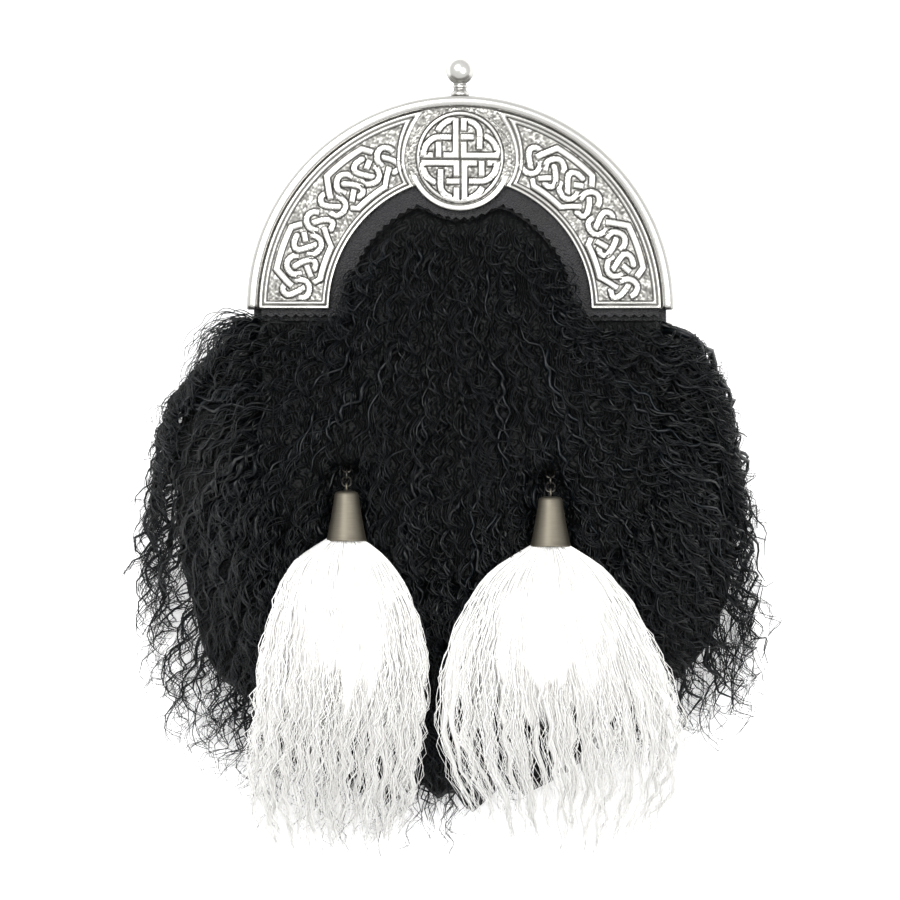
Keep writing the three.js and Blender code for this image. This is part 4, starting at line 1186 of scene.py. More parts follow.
def drape(x, y):
    """Height of the top of the black hair, in mm."""
    across = np.maximum(0, np.abs(x) - 60) / 74
    down = np.maximum(0, -y - 60) / 165
    fall = ease(0.42, 1.08, np.hypot(across, down))
    return HAIR_TOP + (FLOOR_Z + 7 - HAIR_TOP) * fall


def bed(x, y):
    """How far the cones and their chains press the hair down."""
    depth = np.zeros(np.broadcast(x, y).shape)
    for tassel in TASSELS.values():
        from_axis = (x - tassel["x"]) / 9
        end = tassel["top"] - CONE["length"]
        window = ease(end - 26, end - 6, y) * (1 - ease(tassel["top"] + 6, tassel["top"] + 14, y))
        depth = np.maximum(depth, 10.5 * np.exp(-(from_axis**2)) * window)
    return depth


# %% [markdown]
# ## Outlines of the hair
# The photograph gives how far the black hair reaches on each side, how low it hangs and how wide
# each tassel is. They are short tables in millimetres from the middle of the arch. The locks turn
# down before they reach that outline, so it comes out as curls and not as a cut edge.

# %% Outlines from the photograph
REACH = {
    "y": [40, -5, -20, -38, -71, -105, -138, -172, -205, -226],
    "left": [60, 97, 110, 124, 131, 134, 130, 120, 108, 92],
    "right": [60, 99, 108, 113, 121, 125, 127, 120, 98, 66],
}
LOWEST = {
    "x": [-130, -112, -100, -66, -8, 8, 45, 85, 95, 125],
    "y": [-158, -200, -218, -228, -228, -220, -216, -206, -190, -182],
}
WHITE_OUTLINE = {
    "left": {
        "y": [-95.5, -97.7, -100.6, -103.5, -109.4, -115.6, -130, -145, -160, -175, -205, -226],
        "low": [-54.6, -56.5, -63.5, -67.5, -71.8, -74.7, -78.5, -83, -84.6, -86.8, -91, -84],
        "high": [-41.4, -39.5, -33, -30.3, -26.5, -22.5, -16.7, -13.8, -13.8, -15.3, -18.5, -25],
    },
    "right": {
        "y": [-98, -100.2, -103.1, -106, -112, -121.5, -142, -163, -184, -205, -224],
        "low": [31, 29, 21.5, 17, 10.5, 3.6, -5.2, -9.3, -8.6, 0, 9],
        "high": [44.2, 46, 53.5, 58, 63.5, 70.5, 82.5, 92, 96, 92, 82],
    },
}


def read_off(table, name, y):
    """A value of a table whose y runs downward."""
    return np.interp(y, np.array(table["y"])[::-1], np.array(table[name])[::-1])


def reach_at(x, y):
    """How far out the black hair goes at y, on the side that x is on."""
    return np.where(x < 0, read_off(REACH, "left", y), read_off(REACH, "right", y))


def white_outline(side, y):
    table = WHITE_OUTLINE[side]
    return read_off(table, "low", y), read_off(table, "high", y)


# %% [markdown]
# ## The black fleece
# Curly sheepskin grows in locks: some tens of hairs that wave together and thin out to a point.
# The locks are rooted on a loose grid over the skin, with two closer rows round its edge, because
# the hair beside the pouch all grows there. Each one follows a flow that fans out to the sides
# and turns down at the fleece's outline, and wanders a little, as combed curls do.

# %% Roots of the locks
LOCK_SPACING = (9.8, 9.2)
EDGE_ROWS = [{"inset": 3.2, "spacing": 3.0}, {"inset": 8.0, "spacing": 4.3}]


def evenly(loop, spacing):
    """Points at even distances along a closed flat loop."""
    loop = np.vstack([loop, loop[:1]])
    spans = np.hypot(*np.diff(loop, axis=0).T)
    at = np.concatenate([[0], np.cumsum(spans)])
    walk = np.linspace(0, at[-1], round(at[-1] / spacing), endpoint=False)
    return np.column_stack([np.interp(walk, at, loop[:, 0]), np.interp(walk, at, loop[:, 1])])


def on_skin(x, y):
    """True where the skin shows and a lock can grow."""
    if y > FACING_FOOT - 1:
        angle = math.atan2(max(y, 0.01), x)
        return math.hypot(x, y) < float(inner_edge(angle)) - 0.6
    corner_x = max(abs(x) - (POUCH_RADIUS - POUCH_CORNER), 0)
    corner_y = max(POUCH_BOTTOM + POUCH_CORNER - y, 0)
    return math.hypot(corner_x, corner_y) < POUCH_CORNER - 4


def field_roots():
    roots = []
    for row, y in enumerate(np.arange(44, POUCH_BOTTOM + 5, -LOCK_SPACING[1])):
        for x in np.arange(-82, 83, LOCK_SPACING[0]):
            stagger = (row % 2) * LOCK_SPACING[0] / 2
            place = np.array([x + stagger, y]) + rng.uniform(-3.2, 3.2, 2)
            if on_skin(*place):
                roots.append(place)
    return np.array(roots)


def edge_roots():
    rows = [evenly(pouch_outline(row["inset"]), row["spacing"]) for row in EDGE_ROWS]
    places = np.vstack(rows)
    places = places[places[:, 1] < FACING_FOOT - 1.5]
    return places + rng.uniform(-1.2, 1.2, places.shape)


def bib_roots():
    """A close row right under the facing's teeth, round the arch and along its two feet."""
    angle = np.linspace(0.02, math.pi - 0.02, 34)
    radius = inner_edge(angle) - 1.0
    arch = np.column_stack([radius * np.cos(angle), radius * np.sin(angle)])
    foot = np.arange(FACING_INNER + 2, FACING_OUTER, 3.3)
    feet = [np.column_stack([way * foot, np.full(len(foot), FACING_FOOT - 1.6)]) for way in (-1, 1)]
    return np.vstack([arch, *feet])


field = field_roots()
edge = edge_roots()
bib = bib_roots()
print(len(field), "locks grow on the skin,", len(edge), "round its edge and", len(bib), "under the teeth")

# %% Flow of the locks
FAN = {"left": 74.0, "right": 66.0}
TURN_ROOM = 13.0
ARCH_ROOM = 48.0
OVERREACH = 7.0


def flow(x, y):
    """Heading of the hair from straight down, positive to the right, in radians."""
    fan = np.where(x < 0, FAN["left"], FAN["right"])
    share = np.minimum(np.abs(x) / 84, 1.1) ** 1.35
    room = np.clip((reach_at(x, y) - np.abs(x)) / TURN_ROOM, -0.7, 1)
    return np.sign(x) * np.radians(fan) * share * room * (1 - 0.72 * ease(20, 105, -y))


def fitted(roots, length):
    """Shortens the locks that would hang lower than the photograph's hair."""
    room = np.maximum(reach_at(roots[:, 0], roots[:, 1] - 50) - np.abs(roots[:, 0]), 0)
    outward = np.sign(roots[:, 0]) * 0.7 * room
    lowest = np.interp(roots[:, 0] + outward, LOWEST["x"], LOWEST["y"])
    room = (roots[:, 1] - lowest) * rng.uniform(0.92, 1.1, len(roots))
    return np.minimum(length, np.maximum(room, 16))


def guides(roots, length, stations, stray=1.0):
    """Lines of stations points that follow the flow from each root: roots x stations x 2.
    Hair that grows inside the metal arch stays off the metal and spreads only below its feet."""
    count = len(roots)
    step = length / (stations - 1)
    lean = rng.normal(0, 0.2, count) * stray
    wander = rng.uniform(0.1, 0.4, count) * stray
    pitch = rng.uniform(28, 64, count)
    start = rng.uniform(0, 2 * math.pi, count)
    flick = rng.normal(0, 0.5, count)
    in_arch = np.abs(roots[:, 0]) < ARCH_ROOM
    x, y = roots[:, 0].copy(), roots[:, 1].copy()
    points = [np.column_stack([x, y])]
    for i in range(1, stations):
        t = i / stations
        heading = flow(x, y) + lean * (1 - t) + flick * ease(0.65, 1.0, t)
        heading += wander * np.sin(2 * math.pi * i * step / pitch + start)
        x = x + step * np.sin(heading)
        y = y - step * np.cos(heading)
        widest = ARCH_ROOM + 44 * ease(-1, -14, y)
        out = np.hypot(x, np.maximum(y, 0))
        x = np.where(in_arch & (out > widest), x * widest / np.maximum(out, 1), x)
        x = np.sign(x) * np.minimum(np.abs(x), reach_at(x, y) + OVERREACH)
        points.append(np.column_stack([x, y]))
    return np.stack(points, axis=1)


# %% [markdown]
# A curl is a corkscrew laid on the guide line. Seen from the side it is more than a sine: the hair
# also runs back and forth along the line, so the waves lean over. The strands of a lock share the
# turn, so they wave side by side, and they draw together towards the tip.

# %% Curls


def curled(lines, length, deep, wave, pitch, swing, offset=(0.0, 0.0)):
    """Lays a corkscrew on flat lines and lifts them to the fleece: strands x stations x 3."""
    along = normalised(np.gradient(lines, axis=1))
    side = np.stack([-along[..., 1], along[..., 0]], axis=-1)
    t = np.linspace(0, 1, lines.shape[1])
    run = length[:, None] * t
    turn = 2 * math.pi * run / pitch[:, None] + wave[:, None]
    turn = turn + 0.7 * np.sin(turn * 0.31 + 2 * wave[:, None])
    swell = ease(1, 15, run) * swing[:, None] * (0.75 + 0.5 * t)
    gather = 1 - 0.75 * ease(0.3, 1, t)
    sway = swell * np.sin(turn) + offset[0] * gather
    lean = 0.5 * swell * np.cos(turn + 0.6)
    flat = lines + side * sway[..., None] + along * lean[..., None]
    top = drape(flat[..., 0], flat[..., 1]) - bed(flat[..., 0], flat[..., 1]) - deep[:, None]
    lifted = ease(0, 11, run)
    z = SKIN_TOP * (1 - lifted) + (top + 0.75 * swell * np.cos(turn) + offset[1] * gather) * lifted
    return np.concatenate([flat, z[..., None]], axis=-1)


def kept_clear(paths, radii):
    """Keeps strands above the table, and below the cones, chains and white hair."""
    x, y, z = paths[..., 0], paths[..., 1], paths[..., 2]
    ceiling = np.full(x.shape, 99.0)
    for side, tassel in TASSELS.items():
        from_axis = np.abs(x - tassel["x"])
        end = tassel["top"] - CONE["length"]
        beside = (y > end - 3) & (y < tassel["top"] + 2) & (from_axis < CONE["radius"] + 1)
        under = CONE["z"] - np.sqrt(np.maximum((CONE["radius"] + 0.8) ** 2 - from_axis**2, 0))
        ceiling = np.where(beside, np.minimum(ceiling, under), ceiling)
        chain = (y > tassel["top"] - 1) & (y < tassel["top"] + 14) & (from_axis < 3.4)
        ceiling = np.where(chain, np.minimum(ceiling, SKIN_TOP + 2 + from_axis), ceiling)
        low, high = white_outline(side, y)
        below = (y < end - 2) & (x > low + 2) & (x < high - 2)
        ceiling = np.where(below, np.minimum(ceiling, drape(x, y) - bed(x, y) - 0.4), ceiling)
    floor_level = FLOOR_Z + radii + 0.1
    paths[..., 2] = np.maximum(np.minimum(z, ceiling - radii), floor_level)
    return paths


# %% [markdown]
# Seen close, most curls are a thin twisted core with one or two finer hairs that run along it and
# part from it at the tip. That reads as wool, where even wires would not.

# %% Bundles of curls


def curls(name, roots, length, stations, look, sides=3):
    """One piece of curly locks. look holds depth, pitch, swing and spread ranges, the core's
    radius, and how many finer hairs of what radius go with each core."""
    count = len(roots)
    lines = guides(roots, length, stations, look.get("stray", 1.0))
    wave = rng.uniform(0, 2 * math.pi, count)
    pitch = rng.uniform(*look["pitch"], count)
    swing = rng.uniform(*look["swing"], count)
    deep = rng.uniform(*look["depth"], count)
    paths, shades, thick = [], [], []
    lock_shade = rng.beta(1.5, 2.2, count)
    for hair in range(1 + look["hairs"]):
        core = hair == 0
        angle = rng.uniform(0, 2 * math.pi, (count, 1))
        spread = 0 if core else rng.uniform(*look["spread"], (count, 1))
        offset = (spread * np.cos(angle), 0.6 * spread * np.sin(angle))
        paths.append(
            curled(
                lines + rng.normal(0, 0.05 if core else 0.35, (count, 1, 2)),
                length,
                deep,
                wave + rng.normal(0, 0.05 if core else look["loose"], count),
                pitch * (1 if core else rng.uniform(0.97, 1.03, count)),
                swing * (1 if core else rng.uniform(0.8, 1.3, count)),
                offset,
            )
        )
        shades.append(np.clip(lock_shade * 0.6 + 0.4 * rng.beta(1.2, 2.0, count), 0, 0.999))
        width = look["core"] if core else look["fine"]
        thick.append(np.full(count, width) * rng.uniform(0.7, 1.3, count))
    paths, shades, thick = np.concatenate(paths), np.concatenate(shades), np.concatenate(thick)
    t = np.linspace(0, 1, stations)
    slender = np.where(thick[:, None] > look["fine"] * 1.4, 0.9, 0.6)
    radii = thick[:, None] * (0.6 + 0.4 * ease(0, 0.08, t)) * (1 - slender * t**1.6)
    kept_clear(paths, radii)
    hair_piece(name, paths, radii, shades, black_wool, "black_fleece", "fur", sides)


# %% [markdown]
# The top coat comes in four pieces: two halves over the pouch, and the longer, looser ringlets
# round its edge, whose curls show one by one against the table.

# %% Top coat
TOP_COAT = {"depth": (-1.2, 3.4), "pitch": (9.0, 17.0), "swing": (1.2, 3.2), "spread": (0.5, 2.2)}
TOP_COAT |= {"core": 0.41, "fine": 0.2, "hairs": 2, "loose": 0.45}
RINGLETS = {"depth": (-0.8, 8.0), "pitch": (12.0, 22.0), "swing": (1.5, 3.6), "spread": (0.4, 1.2)}
RINGLETS |= {"core": 0.5, "fine": 0.2, "hairs": 2, "loose": 0.25, "stray": 0.8}


def field_length(roots):
    low = np.clip(-roots[:, 1] / 112, 0, 1)
    inside_arch = 1 - 0.3 * ease(-5, 25, roots[:, 1])
    return fitted(roots, (68 + 26 * low) * inside_arch * rng.uniform(0.8, 1.2, len(roots)))


def edge_length(roots):
    bottom = ease(80, 112, -roots[:, 1])
    return fitted(roots, rng.uniform(62 + 38 * bottom, 122 + 8 * bottom))


inner = np.vstack([field, bib])
for name, chosen in (("fleece_left", inner[inner[:, 0] < 0]), ("fleece_right", inner[inner[:, 0] >= 0])):
    curls(name, chosen, field_length(chosen), 42, TOP_COAT)
for name, chosen in (("ringlets_left", edge[edge[:, 0] < 0]), ("ringlets_right", edge[edge[:, 0] >= 0])):
    curls(name, chosen, edge_length(chosen), 50, RINGLETS)

# %% [markdown]
# The lower corners and the fringe are as full as the rest in the photograph, so they get locks of
# their own. The side locks come down beside the pouch, and the fringe hangs straight and long.

# %% Side locks and fringe
SIDE_LOCKS = 104
FRINGE_LOCKS = 66
SIDE_CURL = RINGLETS | {"core": 0.85, "fine": 0.3, "hairs": 1, "depth": (0.0, 12.0)}
SIDE_CURL |= {"pitch": (15.0, 25.0), "swing": (1.8, 3.6), "spread": (0.3, 0.9), "stray": 0.6}
FRINGE_CURL = RINGLETS | {"core": 0.7, "swing": (1.0, 2.6), "pitch": (14.0, 24.0), "stray": 0.6}


def rooted_on(places, low, count):
    """A random choice of the edge's root places below y = low, each a little moved."""
    there = places[places[:, 1] < low]
    return there[rng.integers(0, len(there), count)] + rng.uniform(-1.5, 1.5, (count, 2))


beside = edge[np.abs(edge[:, 0]) > 48]
side_roots = rooted_on(beside, -42, SIDE_LOCKS)
side_length = fitted(side_roots, rng.uniform(84, 124, SIDE_LOCKS))
curls("side_locks", side_roots, side_length, 36, SIDE_CURL)
hanging = edge[(edge[:, 0] > -76) & (edge[:, 0] < 44)]
fringe_roots = rooted_on(hanging, -96, FRINGE_LOCKS)
fringe_length = fitted(fringe_roots, np.full(FRINGE_LOCKS, 130.0)) * 1.05
curls("fringe", fringe_roots, fringe_length, 38, FRINGE_CURL)

# %% [markdown]
# Under the top coat lie shorter, thicker twisted locks. Round the edge they hang more steeply and
# fill the room between the pouch's side and the table.

# %% Under coat
UNDER_COAT = {"depth": (2.0, 6.0), "pitch": (10.0, 15.0), "swing": (0.8, 2.0), "spread": (0, 1)}
UNDER_COAT |= {"core": 1.1, "fine": 0.2, "hairs": 0, "loose": 0.3}
UNDER_EDGE = UNDER_COAT | {"depth": (3.0, 20.0), "core": 1.5, "swing": (1.0, 3.0), "pitch": (11.0, 19.0)}
under = field[rng.random(len(field)) < 0.55]
curls("under_locks", under, field_length(under) * 0.9, 30, UNDER_COAT, 4)
under = edge + rng.uniform(-1.5, 1.5, edge.shape)
curls("under_edge_locks", under, edge_length(under) * 0.9, 28, UNDER_EDGE, 4)

# %% [markdown]
# Single loose hairs stand off the outline in wider loops. A few rise beside the left foot of the
# metal top and arch back down.

# %% Loose hairs
LOOSE = {"depth": (-2.0, 4.0), "pitch": (13.0, 24.0), "swing": (1.6, 4.2), "spread": (0, 2)}
LOOSE |= {"core": 0.13, "fine": 0.12, "hairs": 0, "loose": 0.3, "stray": 1.5}
loose = edge[rng.integers(0, len(edge), 140)]
curls("loose_hairs", loose, edge_length(loose) * 1.06, 36, LOOSE)

ARCHING = 84
ARCHING_STATIONS = 30
t = np.linspace(0, 1, ARCHING_STATIONS)
start = np.column_stack([rng.uniform(-88, -82, ARCHING), rng.uniform(-10, -5, ARCHING)])
first = np.radians(rng.uniform(120, 165, ARCHING))[:, None]
heading = first + (np.radians(22) - first) * t**0.5
heading = heading + rng.normal(0, 0.1, ARCHING)[:, None]
heading = heading + 0.15 * np.sin(9 * t + rng.uniform(0, 6, (ARCHING, 1)))
arch_length = rng.uniform(12, 40, ARCHING)
step = (arch_length / (ARCHING_STATIONS - 1))[:, None]
arch_x = start[:, :1] - np.cumsum(np.sin(heading) * step, axis=1)
arch_y = start[:, 1:] - np.cumsum(np.cos(heading) * step, axis=1)
arch_paths = curled(
    np.stack([arch_x, arch_y], axis=-1),
    arch_length,
    rng.uniform(0, 6, ARCHING),
    rng.uniform(0, 6, ARCHING),
    rng.uniform(9, 20, ARCHING),
    rng.uniform(0.2, 1.2, ARCHING),
)
arch_radii = 0.27 * (1 - 0.5 * t) * np.ones((ARCHING, 1))
kept_clear(arch_paths, arch_radii)
arch_shades = rng.uniform(0.2, 0.9, ARCHING)
hair_piece("arching_hairs", arch_paths, arch_radii, arch_shades, black_wool, "black_fleece", "fur")

# %% [markdown]
# Beside the metal's feet the pouch's side would be bare, so locks fall there from the skin's edge
# straight down to the table. They hide only the upper part of the wool skirt's start. From the side
# its lower part still shows as a hard dark block.

# %% Falling locks
FALLING = 56
FALLING_STATIONS = 28
t = np.linspace(0, 1, FALLING_STATIONS)
way = np.where(np.arange(FALLING) % 2, 1.0, -1.0)[:, None]
first_y = rng.uniform(-36, -6, (FALLING, 1))
stand_off = rng.uniform(2.5, 11, (FALLING, 1))
turn = 2 * math.pi * t * rng.uniform(2.2, 3.6, (FALLING, 1)) + rng.uniform(0, 6, (FALLING, 1))
sway = rng.uniform(0.8, 2.4, (FALLING, 1)) * ease(0, 0.3, t)
falling_x = way * (POUCH_RADIUS - 3 + (stand_off + 3) * ease(0, 0.55, t) + 0.6 * sway * np.cos(turn))
falling_y = first_y - rng.uniform(4, 26, (FALLING, 1)) * t**1.4 + sway * np.sin(turn)
drop = ease(-0.15, 1, t) * np.ones((FALLING, 1))
falling_z = SKIN_TOP + 3 + (FLOOR_Z + 1.6 - SKIN_TOP - 3) * drop
falling_paths = np.stack([falling_x, np.minimum(falling_y, -4.5), falling_z], axis=-1)
falling_paths = np.concatenate([falling_paths, falling_paths + rng.normal(0, 0.7, (FALLING, 1, 3))])
falling_radii = np.repeat([1.0, 0.35], FALLING)[:, None] * (1 - 0.7 * t**2)
kept_clear(falling_paths, falling_radii)
shades = rng.uniform(0.1, 0.8, 2 * FALLING)
hair_piece("falling_locks", falling_paths, falling_radii, shades, black_wool, "black_fleece", "fur")

# %% [markdown]
# The mat is the dense wool near the skin. Over the pouch it is a closed blanket that fills the
# arch right up to the facing's teeth. Its places run in rings from the middle to its outline.

# %% Wool mat
MAT_MIDDLE = np.array([0.0, -34.0])
MAT_RINGS = 24


def mat_outline():
    swing = np.linspace(0, math.pi, 60)
    radius = inner_edge(swing) - 0.4
    foot = FACING_FOOT - 1.2
    side = POUCH_RADIUS - 1
    arch = np.column_stack([radius * np.cos(swing), radius * np.sin(swing)])
    lower = pouch_outline(1.0)
    lower = lower[lower[:, 1] < POUCH_BOTTOM + POUCH_CORNER + 0.5]
    right_step = [(side, foot), (radius[0], foot)]
    left_step = [(-radius[0], foot), (-side, foot)]
    return evenly(np.vstack([right_step, arch, left_step, lower]), 3.3)


outline = mat_outline()
share = np.linspace(0.04, 1, MAT_RINGS)
places = MAT_MIDDLE + (outline - MAT_MIDDLE)[:, None] * share[:, None]
inward = (1 - share) * np.hypot(*(outline - MAT_MIDDLE).T)[:, None]
ragged = blurred(rng.normal(size=inward.shape), 2)
skin_level = np.full(inward.shape, SKIN_TOP + 0.2)
tops = drape(places[..., 0], places[..., 1]) - bed(places[..., 0], places[..., 1]) - 4 + 1.4 * ragged
tops = skin_level + 0.8 + (tops - skin_level - 0.8) * ease(-1.5, 4, inward)
upper = np.concatenate([places, tops[..., None]], axis=-1).reshape(-1, 3)
lower = np.concatenate([places, skin_level[..., None]], axis=-1).reshape(-1, 3)
index = np.arange(inward.size).reshape(inward.shape)
ahead = np.roll(index, -1, axis=0)
quads = np.stack([index[:, :-1], index[:, 1:], ahead[:, 1:], ahead[:, :-1]], axis=-1).reshape(-1, 4)
count = inward.size
rim = np.stack([index[:, -1], index[:, -1] + count, ahead[:, -1] + count, ahead[:, -1]], axis=-1)
hub = index[:, 0]
mat_faces = quads.tolist() + (quads[:, ::-1] + count).tolist() + rim.tolist()
mat_faces += [hub.tolist(), (hub[::-1] + count).tolist()]
mat = piece("wool_mat", np.vstack([upper, lower]), mat_faces, matted_wool, ["fur"])
welded(mat)
print("wool_mat has", triangles(mat), "triangles")

# %% [markdown]
# Round the pouch the same dense wool hangs as a skirt from the skin's edge to the table. It is a
# section swept round the sides and the bottom. It starts thin and low under the metal's feet and
# trails farthest below the pouch. From above it shows only as darkness between the curls. From the
# side its start and its lower edge show bare.

# %% Wool skirt
SKIRT = {"top": -8.0, "wall": 1.2, "lap": 3.0, "reach": 36.0, "margin": 8.0, "under": 7.0, "foot": 0.4}
SKIRT |= {"corner": 10.0, "train": 50.0, "first": 0.15, "ragged": 0.06}


def skirt_rows():
    """Places down the left side, round the bottom and up the right side, with the bearing away."""
    straight = POUCH_BOTTOM + POUCH_CORNER
    middle = POUCH_RADIUS - POUCH_CORNER
    down = np.arange(SKIRT["top"], straight, -3.5)
    turn = np.linspace(180, 270, 26)
    corner = arc((-middle, straight), POUCH_CORNER, 180, 270, 26)
    left = [(-POUCH_RADIUS, y, 180.0) for y in down]
    left += [(*place, bearing) for place, bearing in zip(corner, turn)]
    low = [(x, POUCH_BOTTOM, 270.0) for x in np.linspace(-middle, middle, 18)[1:-1]]
    right = [(-x, y, 540 - bearing) for x, y, bearing in left]
    return np.array(left + low + right[::-1])


rows = skirt_rows()
bearing = np.radians(rows[:, 2])
away = np.column_stack([np.cos(bearing), np.sin(bearing)])
wanted = SKIRT["reach"] + SKIRT["corner"] * np.sin(2 * bearing) ** 2
trail = SKIRT["train"] * (1 - 0.55 * ease(20, 60, rows[:, 0]))
wanted += trail * np.maximum(0, -np.sin(bearing)) ** 6
started = SKIRT["first"] + (1 - SKIRT["first"]) * ease(SKIRT["top"], SKIRT["top"] - 24, rows[:, 1])
wanted *= started
wanted *= 1 + SKIRT["ragged"] * blurred(rng.normal(size=(1, len(rows))), 1)[0]
farthest = rows[:, :2] + away * wanted[:, None]
room = reach_at(farthest[:, 0], farthest[:, 1]) - np.abs(rows[:, 0]) - SKIRT["margin"]
reach = np.minimum(wanted, room / np.maximum(np.abs(away[:, 0]), 0.05))
TOP_SHARES = np.array([0.05, 0.2, 0.35, 0.5, 0.65, 0.8, 0.9, 0.97])
out = reach[:, None] * TOP_SHARES
top_x, top_y = rows[:, :1] + away[:, :1] * out, rows[:, 1:2] + away[:, 1:] * out
foot = FLOOR_Z + SKIRT["foot"]
top_z = np.maximum(drape(top_x, top_y) - SKIRT["under"], foot + 3)
top_z = foot + (top_z - foot) * (1 - (1 - started[:, None]) * TOP_SHARES**0.5)
ones = np.ones((len(rows), 1))
wall_side = ones * [SKIRT["wall"], SKIRT["wall"], -SKIRT["lap"], -SKIRT["lap"]]
distance = np.hstack([wall_side, out, reach[:, None], reach[:, None] * 0.95])
wall_height = ones * [foot, SKIN_TOP + 0.3, SKIN_TOP + 0.3, SKIN_TOP + 4.5]
height = np.hstack([wall_height, top_z, foot + 0.45 * (top_z[:, -1:] - foot), ones * foot])
shaggy = blurred(rng.normal(size=out.shape), 1)
distance[:, 4:12] += 1.6 * shaggy
height[:, 4:12] += 1.2 * shaggy
flat = rows[:, None, :2] + away[:, None] * distance[..., None]
skirt_points = np.concatenate([flat, height[..., None]], axis=-1).reshape(-1, 3)
sections, corners = height.shape
index = np.arange(sections * corners).reshape(sections, corners)
turned = np.roll(index, -1, axis=1)
skirt_faces = np.stack([index[:-1], turned[:-1], turned[1:], index[1:]], axis=-1).reshape(-1, 4).tolist()
skirt_faces += [index[0, ::-1].tolist(), index[-1].tolist()]
skirt = piece("wool_skirt", skirt_points, skirt_faces, matted_wool, ["fur"])
welded(skirt)
print("wool_skirt has", triangles(skirt), "triangles")

# %% [markdown]
# ## Tassel cones and chains
# Each tassel hangs on a short chain from an eye that is riveted through the skin. The cone is
# thin pressed metal with a rolled lip and a wire eye on top.

# %% Cones
CONE_PROFILE = [
    (0, 0.35), (2.2, 0.3), (3.9, 0.0), (4.7, -0.5), (5.05, -1.3), (5.5, -5), (6.6, -11.5),
    (7.9, -18.2), (8.1, -19.2), (8.35, -19.7), (8.45, -20.1), (8.35, -20.5), (7.9, -20.5),
    (7.4, -19), (4.4, -3), (0, -2.6),
]


def loop_wire(path, wire, sides=8):
    """Points and faces of a closed wire of radius wire through the points of a flat path."""
    path = np.asarray(path, float)
    along = normalised(np.roll(path, -1, axis=0) - np.roll(path, 1, axis=0))
    middle = path.mean(axis=0)
    normal = normalised(np.cross(path[0] - middle, path[len(path) // 4] - middle))
    outward = np.cross(along, normal)
    turn = np.arange(sides) * 2 * math.pi / sides
    section = np.cos(turn)[:, None] * outward[:, None] + np.sin(turn)[:, None] * normal
    points = path[:, None] + wire * section
    return points.reshape(-1, 3), wire_faces(len(path), sides), 0.0


EYE = {"radius": 1.7, "wire": 0.45}
for side, tassel in TASSELS.items():
    centre = (tassel["x"], tassel["top"], CONE["z"])
    cone_points, cone_faces = spun(CONE_PROFILE, 56, centre)
    turn = np.arange(24) * 2 * math.pi / 24
    eye_y, eye_z = EYE["radius"] * (1 + np.sin(turn)), EYE["radius"] * np.cos(turn)
    eye = loop_wire(np.column_stack([0 * turn, eye_y, eye_z]) + centre, EYE["wire"])
    points, faces, _ = joined([(cone_points, cone_faces, 0.0), eye])
    cone = piece(f"cone_{side}", points, faces, satin_nickel, [f"tassel_cone_{side}"])
    welded(cone)
print("cones made, with", triangles(cone), "triangles each")

# %% Links and anchors
LINK = {"width": 4.6, "length": 5.8, "wire": 0.45}


def oval(width, length, steps=36):
    """A stadium in the XY plane, its long way along Y."""
    end = width / 2
    straight = length / 2 - end
    upper = arc((0, straight), end, 0, 180, steps // 2)
    lower = arc((0, -straight), end, 180, 360, steps // 2)
    return np.vstack([upper, lower])


for side in TASSELS:
    boxes = {n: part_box(f"tassel_link_{side}_{n}") for n in (1, 2, 3)}
    middles = {n: (np.array(low) + np.array(high)) / 2 / MM for n, (low, high) in boxes.items()}
    along = normalised(middles[3] - middles[1])
    flat = oval(LINK["width"] - 2 * LINK["wire"], LINK["length"] - 2 * LINK["wire"])
    for number, middle in middles.items():
        across = np.cross(along, (1.0, 0, 0)) if number == 2 else np.array([1.0, 0, 0])
        path = middle + flat[:, :1] * across + flat[:, 1:] * along
        points, faces, _ = loop_wire(path, LINK["wire"])
        name = f"chain_link_{side}_{number}"
        link = piece(name, points, faces, dark_wire, [f"tassel_link_{side}_{number}"])
        welded(link)
    anchor = bpy.data.objects[f"tassel_anchor_{side}"]
    anchor.data.materials.clear()
    anchor.data.materials.append(dark_wire)
print("chains made")

# %% [markdown]
# ## White hair
# The tassels are long white hair, tied at the top and glued into the cone. So much light passes
# through it that its middle has no drawing at all: there it is one soft, finely ridged body. Below,
# it parts into slack clumps, and fine wavy strands cover both and stray over the edges.

# %% Tassel shape
WHITE_LENGTH = 128.0
CLUMPS = 26


def tassel_height(y, mouth_y):
    """Half the thickness of the tassel at a distance below its cone's mouth."""
    below = mouth_y - y
    return np.interp(below, [-2, 0, 8, 20, 45, 85, 128], [6.2, 6.6, 8.4, 10.0, 9.0, 5.4, 1.8])


def tassel_middle(x, y, mouth_y):
    """Height of the tassel's middle: level with the cone at its mouth, then on the fleece."""
    on_fleece = drape(x, y) - bed(x, y) * 0.3 + 0.8 + tassel_height(y, mouth_y)
    share = ease(-2, 26, mouth_y - y)
    return CONE["z"] * (1 - share) + on_fleece * share


